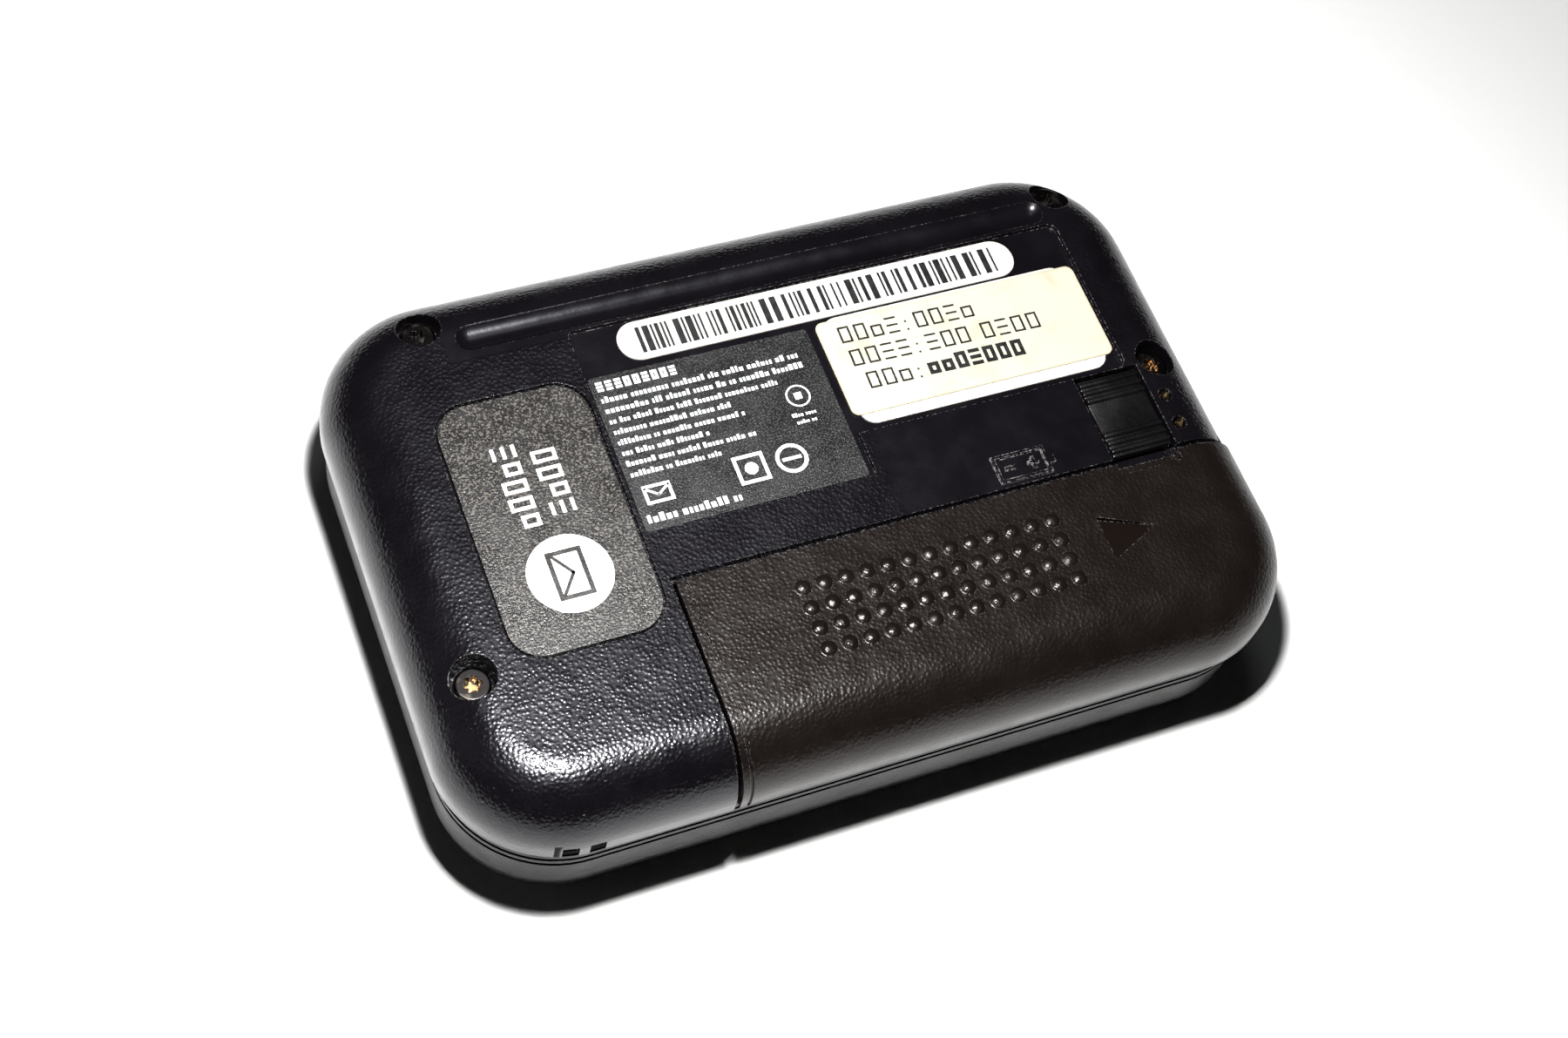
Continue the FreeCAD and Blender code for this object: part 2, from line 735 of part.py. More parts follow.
def serial_label_lower():
    right = recess_right - 1.3
    near_margin, far_margin = under_label_margins
    return label(right - under_label_length, right, recess_near + near_margin,
                 barcode_near - far_margin, 0, 1.5)


def serial_label_upper():
    right = recess_right - 2 * label_margin
    near_margin, far_margin = serial_margins
    return label(right - serial_length, right, recess_near + near_margin,
                 barcode_near - far_margin, 1, 0.8)


def case_screws():
    """Four pan-head screws with six-lobed sockets."""
    screws = []
    for x, y in screw_places:
        head = rod(screw_head_diameter / 2, x, y, screw_seat, screw_head_top)
        rim = [e for e in edges_at(head, screw_head_top) if e.Length > screw_head_diameter]
        head = head.makeFillet(0.3, rim)
        shank = rod(screw_shank_diameter / 2, x, y, screw_seat - screw_length, screw_seat + 0.1)
        socket = rod(0.6, x, y, screw_head_top - 0.8, screw_head_top + 1)
        screw = head.fuse(shank).cut(socket)
        for lobe in range(6):
            angle = math.radians(60 * lobe)
            screw = screw.cut(rod(0.21, x + 0.62 * math.cos(angle), y + 0.62 * math.sin(angle),
                                  screw_head_top - 0.8, screw_head_top + 1))
        screws.append(screw)
    return Part.makeCompound(screws)


def contact_pins():
    pins = []
    for y in port_y:
        pin = rod(pin_diameter / 2, port_x, y, block_top - pin_seat, pin_top)
        pins.append(pin.makeFillet(0.3, edges_at(pin, pin_top)))
    return Part.makeCompound(pins)


def contact_block():
    """Moulded holder of the two contact pins, standing on the logic board."""
    low = min(port_y) - 1.0
    high = max(port_y) + 1.4
    block = box(port_x - 1.6, port_x + 1.6, low, high, logic_top, block_top)
    for y in port_y:
        block = block.cut(rod(pin_diameter / 2, port_x, y, block_top - pin_seat, block_top + 1))
    return block


# --------------------------------------------------------- display and keys
def display_lens():
    return round_plate(lens_left, lens_right, lens_near, lens_far, face_height + 0.05,
                       face_height + 0.05 + lens_thickness - 0.1, 1.9)


def display_box(margin):
    return (lens_left + lens_ledge - 0.5 - margin, lens_right - lens_ledge + 0.5 + margin,
            max(lens_near + lens_ledge - 0.5, board_near + frame_wall) - margin,
            lens_far - lens_ledge + 0.5 + margin)


def lcd_frame():
    z0 = face_inner + 0.1
    outer = box(*display_box(frame_wall), z0, logic_height)
    inner = box(*display_box(0.05), z0 + 0.4, logic_height + 1)
    window = box(*display_box(-1.2), z0 - 1, z0 + 2)
    return outer.cut(inner).cut(window)


def lcd_glass():
    z0 = face_inner + 0.5
    front = box(*display_box(0), z0, z0 + glass_thickness / 2)
    x0, x1, y0, y1 = display_box(0)
    back = box(x0, x1, y0 + 1.5, y1 - 1.5, z0 + glass_thickness / 2, z0 + glass_thickness)
    return front.fuse(back).removeSplitter()


def backlight_panel():
    x0, x1, y0, y1 = display_box(0)
    z0 = face_inner + 0.5 + glass_thickness + 0.02
    return box(x0 + 0.2, x1 - 0.2, y0 + 1.7, y1 - 1.7, z0, z0 + backlight_thickness)


def elastomer_strips():
    """Two striped rubber connectors between the glass's ledges and the board."""
    x0, x1, y0, y1 = display_box(0)
    z0 = face_inner + 0.5 + glass_thickness / 2
    strips = []
    for y in (y0 + 0.1, y1 - 1.3):
        strips.append(box(x0 + 1, x1 - 1, y, y + 1.2, z0, logic_height))
    return Part.makeCompound(strips)


def key_cap(kind, dx, dy):
    """Key with a retaining flange inside the face and a plunger to its dome."""
    flange_bottom = face_inner + 0.05
    flange_top = flange_bottom + key_flange_thickness
    cap = key_prism(kind, dx, dy, 0, key_below_rim, flange_top)
    rim = edges_at(cap, key_below_rim)
    cap = cap.makeFillet(0.25, rim)
    flange = key_prism(kind, dx, dy, key_flange, flange_bottom, flange_top)
    if kind == "arrow":
        clear = select_diameter / 2 + key_flange + key_gap
        flange = flange.cut(rod(clear, pad_x, pad_y, flange_bottom - 1, flange_top + 1))
    centre = key_centre(kind, dx, dy)
    plunger = rod(0.9, centre[0], centre[1], flange_top - 0.1, logic_height - 1.5 - key_travel)
    return fuse_all([cap, flange, plunger])


def key_centre(kind, dx, dy):
    reach = {"round": 0, "arrow": pad_reach, "soft": soft_key_offset}[kind]
    return pad_x + dx * reach, pad_y + dy * reach


def keypad_membrane():
    """Rubber sheet over the domes, with a raised pad above each key's plunger."""
    z1 = logic_height - 0.4
    z0 = z1 - 0.4
    reach = soft_key_offset + 2.6
    sheet = round_plate(pad_x - 8.6, pad_x + 8.7, pad_y - reach, pad_y + reach, z0, z1, 1.5)
    pads = [rod(1.1, *key_centre(*key), z0 - 0.35, z0 + 0.1) for key in key_outlines().values()]
    return fuse_all([sheet] + pads).cut(board_notches(z0 - 1, z1 + 1))


def dome_switches():
    domes = []
    for key in key_outlines().values():
        x, y = key_centre(*key)
        cone = Part.makeCone(1.9, 1.2, 0.3, Vector(x, y, logic_height), Vector(0, 0, -1))
        domes.append(cone)
    return Part.makeCompound(domes)


# ------------------------------------------------------------------- boards
def board_notches(z0, z1):
    """Room around the screw bosses."""
    rods = [rod(boss_radius + board_gap, x, y, z0, z1) for x, y in screw_places]
    return rods[0].multiFuse(rods[1:])


def logic_board():
    inset = cavity_inset + board_gap
    plate = case_slab(inset, logic_height, logic_top)
    plate = plate.cut(box(bay_start_x - bay_wall - board_gap, half_length, -half_width,
                          board_near, 0, back_height))
    return plate.cut(board_notches(0, back_height)).removeSplitter()


def receiver_board():
    plate = box(receiver_left, receiver_right, receiver_near, receiver_far,
                receiver_height, receiver_top)
    return plate.cut(board_notches(0, back_height))


def board_connector():
    """Header between the two boards."""
    x = receiver_left + 1.4
    return box(x, x + 3.4, receiver_near + 3, receiver_near + 19, logic_top, receiver_height)


def receiver_shield():
    """Drawn tin can over the radio stages."""
    z1 = receiver_top + 2.6
    left = receiver_right - 23.0
    can = round_plate(left, receiver_right - 1.5, receiver_near + 1.2, receiver_far - 1.2,
                      receiver_top, z1, 0.6)
    inner = round_plate(left + 0.25, receiver_right - 1.75, receiver_near + 1.45,
                        receiver_far - 1.45, receiver_top - 1, z1 - 0.25, 0.4)
    can = can.cut(inner)
    for row in range(3):
        for column in range(4):
            can = can.cut(rod(0.7, left + 4.5 + column * 4.2, receiver_near + 7.1 + row * 5.0,
                              z1 - 1, z1 + 1))
    return can


def board_chips():
    """Flat packages: offset from the receiver board's near left corner, size and board top."""
    packages = ((25.0, 10.6, 12, 12, logic_top), (11.0, 17.6, 8, 6, logic_top),
                (11.0, 6.6, 7, 7, logic_top), (8.0, 8.6, 5, 7, receiver_top),
                (24.0, 16.6, 6, 6, receiver_top))
    chips = []
    for dx, dy, length, width, z in packages:
        x = receiver_left + dx
        y = receiver_near + dy
        chips.append(box(x - length / 2, x + length / 2, y - width / 2, y + width / 2,
                         z, z + chip_height))
    return Part.makeCompound(chips)


def crystal():
    x = receiver_left + 4.5
    y = receiver_far - 7.3
    return round_plate(x, x + 11.0, y, y + 4.4, receiver_top, receiver_top + 3.2, 2.1)


def loop_antenna():
    """Flat brass strip standing along the far wall, its ends bent to the board."""
    y1 = half_width - cavity_inset - 1.6
    y0 = y1 - 0.5
    z0 = logic_top + 1.4
    z1 = z0 + 5.0
    left = -half_length + 18.0
    right = half_length - 12.5
    strip = box(left, right, y0, y1, z0, z1)
    slot = box(left + 2, right - 2, y0 - 1, y1 + 1, z0 + 1.6, z1 - 1.6)
    strip = strip.cut(slot)
    legs = []
    for x in (left, right - 1.5):
        legs.append(box(x, x + 1.5, y0, y1, logic_top, z0 + 0.1))
    return fuse_all([strip] + legs)


def sounder():
    """Round buzzer with a sound hole in its cover."""
    x = pad_x - 0.5
    y = -half_width + sounder_inset
    top = logic_top + 3.4
    drum = rod(sounder_radius, x, y, logic_top, top)
    drum = drum.makeFillet(0.4, edges_at(drum, top))
    return drum.cut(rod(0.9, x, y, top - 1, top + 1))


# ---------------------------------------------------------- vibration motor
def vibration_motor():
    can = rod_along_x(motor_radius, motor_x0, motor_x1, motor_y, motor_z)
    nose = rod_along_x(0.9, motor_x1 - 0.1, motor_x1 + 0.4, motor_y, motor_z)
    bore = rod_along_x(shaft_radius + shaft_clearance, motor_x1 - 3.0, motor_x1 + 1,
                       motor_y, motor_z)
    return can.fuse(nose).cut(bore)


def motor_boot():
    """Rubber cradle that holds the motor on the logic board."""
    block = box(motor_x0 + 1, motor_x1 - 1, motor_y - motor_radius - 0.7,
                motor_y + motor_radius + 0.7, logic_top, motor_z + 0.8)
    return block.cut(rod_along_x(motor_radius, motor_x0 - 1, motor_x1 + 1, motor_y, motor_z))


def motor_shaft():
    return rod_along_x(shaft_radius, motor_x1 - 2.8, weight_x0, motor_y, motor_z)


def eccentric_weight():
    """Half-round weight pushed on the motor's shaft."""
    half = rod_along_x(weight_radius, weight_x0, weight_x1, motor_y, motor_z)
    half = half.cut(box(weight_x0 - 1, weight_x1 + 1, motor_y - 5, motor_y + 5,
                        motor_z + 0.35, motor_z + 5))
    hub = rod_along_x(0.9, weight_x0, weight_x1, motor_y, motor_z)
    return fuse_all([half, hub])


def main():
    nodes = {
        "rear_housing": rear_housing(), "front_housing": front_housing(),
        "case_gasket": gasket_ring(0), "battery_door": battery_door(),
        "door_latch": door_latch(), "latch_spring": latch_spring(),
        "battery_cell": battery_cell(), "cell_jacket": cell_jacket(),
        "positive_contact": positive_contact(), "negative_contact": negative_contact(),
        "badge_plate": badge_plate(), "rating_label": rating_label(),
        "barcode_label": barcode_label(), "serial_label_lower": serial_label_lower(),
        "serial_label_upper": serial_label_upper(), "case_screws": case_screws(),
        "contact_pins": contact_pins(), "contact_block": contact_block(),
        "display_lens": display_lens(), "lcd_frame": lcd_frame(), "lcd_glass": lcd_glass(),
        "backlight_panel": backlight_panel(), "elastomer_strips": elastomer_strips(),
        "keypad_membrane": keypad_membrane(), "dome_switches": dome_switches(),
        "logic_board": logic_board(), "receiver_board": receiver_board(),
        "board_connector": board_connector(), "receiver_shield": receiver_shield(),
        "board_chips": board_chips(), "crystal": crystal(), "loop_antenna": loop_antenna(),
        "sounder": sounder(), "vibration_motor": vibration_motor(), "motor_boot": motor_boot(),
        "motor_shaft": motor_shaft(), "eccentric_weight": eccentric_weight(),
    }
    for name, key in key_outlines().items():
        nodes[name] = key_cap(*key)
    os.makedirs("parts", exist_ok=True)
    for name, shape in nodes.items():
        shape.exportStep("parts/" + name + ".step")
        box_ = shape.BoundBox
        print("%-20s solids %2d valid %s vol %9.2f  x %.2f..%.2f y %.2f..%.2f z %.2f..%.2f" % (
            name, len(shape.Solids), shape.isValid(), shape.Volume,
            box_.XMin, box_.XMax, box_.YMin, box_.YMax, box_.ZMin, box_.ZMax))


main()
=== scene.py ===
"""Looks of a pocket pager with a sliding battery door, lying on its front with its back up.

Metres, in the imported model's own frame: +X runs towards the end that the door slides off,
+Y runs across the case away from the battery, and +Z points out of the back.
"""
import logging
import math
import random
from dataclasses import dataclass
from enum import Enum
from typing import Any

import bmesh
import bpy
from mathutils import Matrix, Quaternion, Vector


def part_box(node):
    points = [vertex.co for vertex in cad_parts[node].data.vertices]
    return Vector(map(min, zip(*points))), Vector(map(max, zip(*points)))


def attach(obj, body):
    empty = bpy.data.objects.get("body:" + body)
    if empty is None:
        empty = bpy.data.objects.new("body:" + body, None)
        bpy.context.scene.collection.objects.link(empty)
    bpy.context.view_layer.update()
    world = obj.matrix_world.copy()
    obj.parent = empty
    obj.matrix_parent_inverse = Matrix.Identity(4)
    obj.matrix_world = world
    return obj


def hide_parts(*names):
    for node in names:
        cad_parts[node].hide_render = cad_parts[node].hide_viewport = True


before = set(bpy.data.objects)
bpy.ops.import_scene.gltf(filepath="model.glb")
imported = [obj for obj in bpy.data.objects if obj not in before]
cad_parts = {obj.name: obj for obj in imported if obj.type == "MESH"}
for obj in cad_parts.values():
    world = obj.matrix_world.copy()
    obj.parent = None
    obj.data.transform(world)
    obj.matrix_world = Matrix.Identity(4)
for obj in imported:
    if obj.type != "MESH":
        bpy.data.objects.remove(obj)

log = logging.getLogger("pager")

MM = 0.001
Colour = tuple[float, float, float]
Socket = bpy.types.NodeSocket
Value = Socket | float
Box = tuple[Vector, Vector]
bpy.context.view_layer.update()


# ------------------------------------------------------------------ shader building
class ShaderGraph:
    """Node tree of one material, with short calls for the nodes that the finishes use."""

    def __init__(self, name: str) -> None:
        """Starts a material that holds one Principled shader."""
        self.material = bpy.data.materials.new(name)
        self.material.use_nodes = True
        self.tree = self.material.node_tree
        self.shader = self.tree.nodes["Principled BSDF"]
        self.place = self.node("ShaderNodeTexCoord").outputs["Object"]

    def node(self, kind: str, **settings: Any) -> bpy.types.Node:
        """Adds a node.

        Args:
            kind: Blender's type name of the node.
            **settings: Properties to set on it.

        Returns:
            The new node.
        """
        made = self.tree.nodes.new(kind)
        for key, value in settings.items():
            setattr(made, key, value)
        return made

    def feed(self, target: Socket, source: Any) -> None:
        """Links a socket to a node's input, or sets a plain value on it."""
        if isinstance(source, bpy.types.NodeSocket):
            self.tree.links.new(source, target)
        else:
            target.default_value = source

    def calc(self, operation: str, first: Value, second: Value = 0.0) -> Socket:
        """Result of a Math node on two values."""
        made = self.node("ShaderNodeMath", operation=operation)
        self.feed(made.inputs[0], first)
        self.feed(made.inputs[1], second)
        return made.outputs[0]

    def span(self, value: Value, low: float, high: float, start: float = 0.0,
             end: float = 1.0) -> Socket:
        """Carries a value smoothly from one range to another.

        Args:
            value: The value to carry over.
            low: Where the value's own range starts.
            high: Where the value's own range ends.
            start: What comes out at low and below it.
            end: What comes out at high and above it.

        Returns:
            The socket of the new value.
        """
        made = self.node("ShaderNodeMapRange", interpolation_type="SMOOTHSTEP")
        for socket, number in zip(made.inputs, (value, low, high, start, end)):
            self.feed(socket, number)
        return made.outputs["Result"]

    def blend(self, factor: Value, first: Any, second: Any) -> Socket:
        """Mix of two colours, which are sockets or plain red, green and blue."""
        made = self.node("ShaderNodeMix", data_type="RGBA")
        self.feed(made.inputs["Factor"], factor)
        for socket, colour in zip((made.inputs[6], made.inputs[7]), (first, second)):
            self.feed(socket, (*colour, 1.0) if isinstance(colour, tuple) else colour)
        return made.outputs[2]

    def stretched(self, factors: tuple[float, float, float]) -> Socket:
        """The piece's own coordinates, multiplied by a factor along each axis."""
        made = self.node("ShaderNodeMapping")
        made.inputs["Scale"].default_value = factors
        self.feed(made.inputs["Vector"], self.place)
        return made.outputs["Vector"]

    def warped(self, size: float, reach: float) -> Socket:
        """The piece's own coordinates, pushed about by noise of that size by up to reach."""
        noise = self.node("ShaderNodeTexNoise")
        noise.inputs["Scale"].default_value = 1.0 / size
        self.feed(noise.inputs["Vector"], self.place)
        shift = self.node("ShaderNodeVectorMath", operation="MULTIPLY_ADD")
        self.feed(shift.inputs[0], noise.outputs["Color"])
        shift.inputs[1].default_value = (reach,) * 3
        self.feed(shift.inputs[2], self.place)
        return shift.outputs[0]

    def noise(self, size: float, detail: float = 2.0, place: Socket | None = None) -> Socket:
        """Noise from 0 to 1 whose patches are about size across."""
        made = self.node("ShaderNodeTexNoise")
        made.inputs["Scale"].default_value = 1.0 / size
        made.inputs["Detail"].default_value = detail
        self.feed(made.inputs["Vector"], place or self.place)
        return made.outputs["Fac"]

    def cells(self, size: float, smoothness: float = 0.5, place: Socket | None = None) -> Socket:
        """Distance to the middle of rounded cells that are about size across."""
        made = self.node("ShaderNodeTexVoronoi", feature="SMOOTH_F1")
        made.inputs["Scale"].default_value = 1.0 / size
        made.inputs["Smoothness"].default_value = smoothness
        self.feed(made.inputs["Vector"], place or self.place)
        return made.outputs["Distance"]

    def along(self, axis: str) -> Socket:
        """One coordinate of the piece, X, Y or Z."""
        made = self.node("ShaderNodeSeparateXYZ")
        self.feed(made.inputs[0], self.place)
        return made.outputs[axis]

    def within(self, low: Vector, high: Vector, soft: float) -> Socket:
        """Mask that is 1 inside an upright box and fades to 0 outside it.

        Args:
            low: The box's lowest corner.
            high: The box's highest corner.
            soft: Width of the fade.

        Returns:
            The mask's socket.
        """
        mask = 1.0
        for index, axis in enumerate("XYZ"):
            inside = self.span(self.along(axis), low[index] - soft, low[index])
            mask = self.calc("MULTIPLY", mask, inside)
            inside = self.span(self.along(axis), high[index], high[index] + soft, 1.0, 0.0)
            mask = self.calc("MULTIPLY", mask, inside)
        return mask

    def rounded(self, radius: float) -> Socket:
        """Normal of the surface with its edges rounded to that radius."""
        made = self.node("ShaderNodeBevel", samples=4)
        made.inputs["Radius"].default_value = radius
        return made.outputs["Normal"]

    def edges(self, radius: float) -> Socket:
        """Mask that is above 0 only close to an edge."""
        turn = self.node("ShaderNodeVectorMath", operation="DOT_PRODUCT")
        self.feed(turn.inputs[0], self.rounded(radius))
        self.feed(turn.inputs[1], self.node("ShaderNodeNewGeometry").outputs["Normal"])
        return self.span(turn.outputs["Value"], 0.98, 0.75)

    def bump(self, height: Value, depth: float, normal: Socket | None = None) -> Socket:
        """Normal bumped by a height from 0 to 1 that stands for depth metres."""
        made = self.node("ShaderNodeBump")
        made.inputs["Strength"].default_value = 1.0
        made.inputs["Distance"].default_value = depth
        self.feed(made.inputs["Height"], height)
        if normal:
            self.feed(made.inputs["Normal"], normal)
        return made.outputs["Normal"]

    def finish(self, **inputs: Any) -> bpy.types.Material:
        """Feeds the shader's inputs.

        Args:
            **inputs: The shader's inputs by name, with underscores for spaces.

        Returns:
            The finished material.
        """
        for key, value in inputs.items():
            if isinstance(value, tuple) and len(value) == 3:
                value = (*value, 1.0)
            self.feed(self.shader.inputs[key.replace("_", " ")], value)
        return self.material


# ------------------------------------------------------------------------- finishes
@dataclass(frozen=True)
class GrainedPlastic:
    """Moulded black plastic with a leather grain, with glints painted as pale flecks on the edges of its
    back.

    Attributes:
        name: Name of the material.
        colour: Colour of the plastic.
        tint: Colour of its slight patches.
        grain: Size of one pebble of the grain.
        depth: Height of the grain.
        gloss: Lowest and highest roughness.
        calm: Boxes where the grain is nearly flat: two corners and the softness of the border.
        scuffs: Box, as two corners, where fine scratches lie.
        glint_box: Box, as two corners, where the edges of raised lines get painted glints.
        shaded: Box, as two corners, of a hollow that little light reaches.
        shade: Roughness in that hollow.
        shine: Strength of the mirror reflection.
        gleam: Tint of that reflection.
        edge_glint: Strength of the glints painted as pale flecks on the edges of the back.
        fade: Heights between which the grain of the sides comes up to full depth.
    """

    name: str
    colour: Colour
    tint: Colour
    grain: float = 0.36 * MM
    depth: float = 0.024 * MM
    gloss: tuple[float, float] = (0.25, 0.33)
    calm: tuple[tuple[Vector, Vector, float], ...] = ()
    scuffs: Box | None = None
    glint_box: Box | None = None
    shaded: Box | None = None
    shade: float = 1.0
    shine: float = 0.5
    gleam: Colour = (1.0, 1.0, 1.0)
    edge_glint: float = 0.6
    fade: tuple[float, float] = (13.5 * MM, 17.0 * MM)

    def make(self) -> bpy.types.Material:
        """Builds the material."""
        graph = ShaderGraph(self.name)
        normal = graph.bump(self.leather(graph), self.depth, graph.rounded(0.12 * MM))
        normal = graph.bump(graph.noise(0.09 * MM, 1.0), 0.0035 * MM, normal)
        colour = graph.blend(graph.span(graph.noise(9 * MM, 3.0), 0.35, 0.7), self.colour, self.tint)
        return graph.finish(Base_Color=self.handled(graph, colour), Roughness=self.dullness(graph),
                            Normal=normal, Specular_IOR_Level=self.shine,
                            Specular_Tint=self.gleam)

    def leather(self, graph: ShaderGraph) -> Socket:
        """Height of the grain, which is nearly flat in the calm boxes and low on the sides."""
        place = graph.warped(0.8 * MM, 0.16 * MM)
        pebbles = graph.span(graph.cells(self.grain, 0.35, place), 0.05, 0.75, 1.0, 0.0)
        height = graph.calc("MULTIPLY_ADD", graph.noise(self.grain * 0.45, 2.0), 0.35)
        graph.feed(height.node.inputs[2], pebbles)
        for low, high, soft in self.calm:
            height = graph.calc("MULTIPLY", height,
                                graph.span(graph.within(low, high, soft), 0, 1, 1.0, 0.1))
        return graph.calc("MULTIPLY", height, graph.span(graph.along("Z"), *self.fade, 0.3, 1.0))

    def handled(self, graph: ShaderGraph, colour: Socket) -> Socket:
        """Colour with its scratches laid over it, and glints painted as pale flecks on the back's edges
        and on the edges of the raised lines in the box.
        """
        if self.scuffs:
            lines = graph.noise(0.22 * MM, 3.0, graph.stretched((0.25, 1.0, 1.0)))
            marks = graph.calc("MULTIPLY", graph.span(lines, 0.66, 0.74),
                               graph.span(graph.noise(1.6 * MM, 2.0), 0.5, 0.62))
            marks = graph.calc("MULTIPLY", marks, graph.within(*self.scuffs, 2 * MM))
            colour = graph.blend(marks, colour, (0.11, 0.10, 0.10))
        # Painted glints: the masks below lay pale flecks along the edges of the back, fading out down
        # the sides.
        glint_dots = graph.span(graph.noise(0.2 * MM, 2.0), 0.5, 0.66)
        glint_dots = graph.calc("MULTIPLY", glint_dots, graph.span(graph.along("Z"), *self.fade))
        worn = graph.calc("MULTIPLY", graph.edges(0.16 * MM), glint_dots)
        colour = graph.blend(graph.calc("MULTIPLY", worn, self.edge_glint), colour, (0.30, 0.29, 0.28))
        # Painted glints: edges of the raised lines in the box are flecked bright.
        if self.glint_box:
            proud = graph.calc("MULTIPLY", graph.edges(0.2 * MM), graph.within(*self.glint_box, 0.1 * MM))
            flecks = graph.span(graph.noise(0.3 * MM, 2.0), 0.47, 0.6)
            colour = graph.blend(graph.calc("MULTIPLY", proud, flecks), colour, (0.3, 0.3, 0.3))
        return colour

    def dullness(self, graph: ShaderGraph) -> Socket:
        """Roughness, which takes its own value in the shaded box."""
        roughness = graph.span(graph.noise(2.5 * MM, 4.0), 0.3, 0.7, *self.gloss)
        if self.shaded:
            inside = graph.within(*self.shaded, 0.1 * MM)
            kept = graph.calc("MULTIPLY", roughness, graph.calc("SUBTRACT", 1.0, inside))
            roughness = graph.calc("ADD", kept, graph.calc("MULTIPLY", inside, self.shade))
        return roughness


@dataclass(frozen=True)
class SparkPlastic:
    """Plastic or film with a fine gritty texture that glitters.

    Attributes:
        name: Name of the material.
        colour: Colour of the hollows.
        peak: Colour of the grains' tops.
        grit: Size of one grain.
        depth: Height of the grit.
        roughness: Middle roughness.
    """

    name: str
    colour: Colour
    peak: Colour
    grit: float = 0.13 * MM
    depth: float = 0.02 * MM
    roughness: float = 0.38

    def make(self) -> bpy.types.Material:
        """Builds the material."""
        graph = ShaderGraph(self.name)
        grit = graph.noise(self.grit, 2.0)
        patches = graph.noise(3 * MM, 3.0)
        colour = graph.blend(graph.span(grit, 0.5, 0.66), self.colour, self.peak)
        roughness = graph.span(patches, 0.3, 0.7, self.roughness - 0.07, self.roughness + 0.07)
        normal = graph.bump(grit, self.depth, graph.rounded(0.08 * MM))
        return graph.finish(Base_Color=colour, Roughness=roughness, Normal=normal)


@dataclass(frozen=True)
class Paper:
    """Face of a stuck label: paper or film with faint fibres, a little soiled.

    Attributes:
        name: Name of the material.
        colour: Clean colour.
        soil: Colour of the soiled patches and the edges.
        roughness: Middle roughness.
        creases: Height of the slow waves in it.
    """

    name: str
    colour: Colour
    soil: Colour
    roughness: float = 0.6
    creases: float = 0.02 * MM

    def make(self) -> bpy.types.Material:
        """Builds the material."""
        graph = ShaderGraph(self.name)
        fibres = graph.noise(0.12 * MM, 4.0, graph.stretched((0.5, 1.0, 1.0)))
        patches = graph.span(graph.noise(4 * MM, 5.0), 0.5, 0.8)
        edge = graph.edges(0.35 * MM)
        soiled = graph.calc("MAXIMUM", graph.calc("MULTIPLY", patches, 0.55), edge)
        specks = graph.span(graph.noise(0.35 * MM, 2.0), 0.74, 0.8)
        soiled = graph.calc("MAXIMUM", soiled, specks)
        normal = graph.bump(graph.noise(5 * MM, 1.0), self.creases)
        normal = graph.bump(fibres, 0.004 * MM, normal)
        roughness = graph.span(fibres, 0.3, 0.7, self.roughness - 0.08, self.roughness + 0.08)
        return graph.finish(Base_Color=graph.blend(soiled, self.colour, self.soil),
                            Roughness=roughness, Normal=normal)


@dataclass(frozen=True)
class Ink:
    """Printed ink, slightly uneven where the print is worn.

    Attributes:
        name: Name of the material.
        colour: Colour of the full ink.
        thin: Colour where the ink is thin.
        roughness: Middle roughness.
    """

    name: str
    colour: Colour
    thin: Colour
    roughness: float = 0.5

    def make(self) -> bpy.types.Material:
        """Builds the material."""
        graph = ShaderGraph(self.name)
        cover = graph.span(graph.noise(0.16 * MM, 4.0), 0.62, 0.8)
        roughness = graph.span(graph.noise(0.6 * MM, 3.0), 0.3, 0.7, self.roughness - 0.1,
                               self.roughness + 0.1)
        return graph.finish(Base_Color=graph.blend(cover, self.colour, self.thin),
                            Roughness=roughness, Normal=graph.bump(cover, 0.002 * MM))


@dataclass(frozen=True)
class Metal:
    """Plain or plated metal with fine drawing lines and stains.

    Attributes:
        name: Name of the material.
        colour: Clean colour.
        stain: Colour of its stains.
        roughness: Middle roughness.
        lines: Factors that stretch its drawing lines.
        socket: Height above which a plated screw keeps its plating, or None.
        bare: Colour of the metal under the plating.
        bare_below: Y under which the sockets are worn to the bare metal.
    """

    name: str
    colour: Colour
    stain: Colour
    roughness: float = 0.3
    lines: tuple[float, float, float] = (0.1, 1.0, 1.0)
    socket: float | None = None
    bare: Colour = (0.45, 0.27, 0.12)
    bare_below: float = 1.0

    def make(self) -> bpy.types.Material:
        """Builds the material."""
        graph = ShaderGraph(self.name)
        lines = graph.noise(0.05 * MM, 3.0, graph.stretched(self.lines))
        patches = graph.span(graph.noise(1.1 * MM, 4.0), 0.48, 0.72)
        colour = graph.blend(patches, self.colour, self.stain)
        if self.socket is not None:
            plated = graph.span(graph.along("Z"), self.socket - 0.1 * MM, self.socket)
            kept = graph.span(graph.noise(0.3 * MM, 3.0), 0.42, 0.55)
            dark = graph.span(graph.along("Y"), self.bare_below, self.bare_below + 1 * MM)
            worn = graph.calc("MAXIMUM", plated, graph.calc("MAXIMUM", kept, dark))
            colour = graph.blend(worn, self.bare, colour)
        roughness = graph.span(patches, 0.0, 1.0, self.roughness, self.roughness + 0.18)
        normal = graph.bump(lines, 0.003 * MM, graph.rounded(0.06 * MM))
        return graph.finish(Base_Color=colour, Metallic=1.0, Roughness=roughness, Normal=normal)


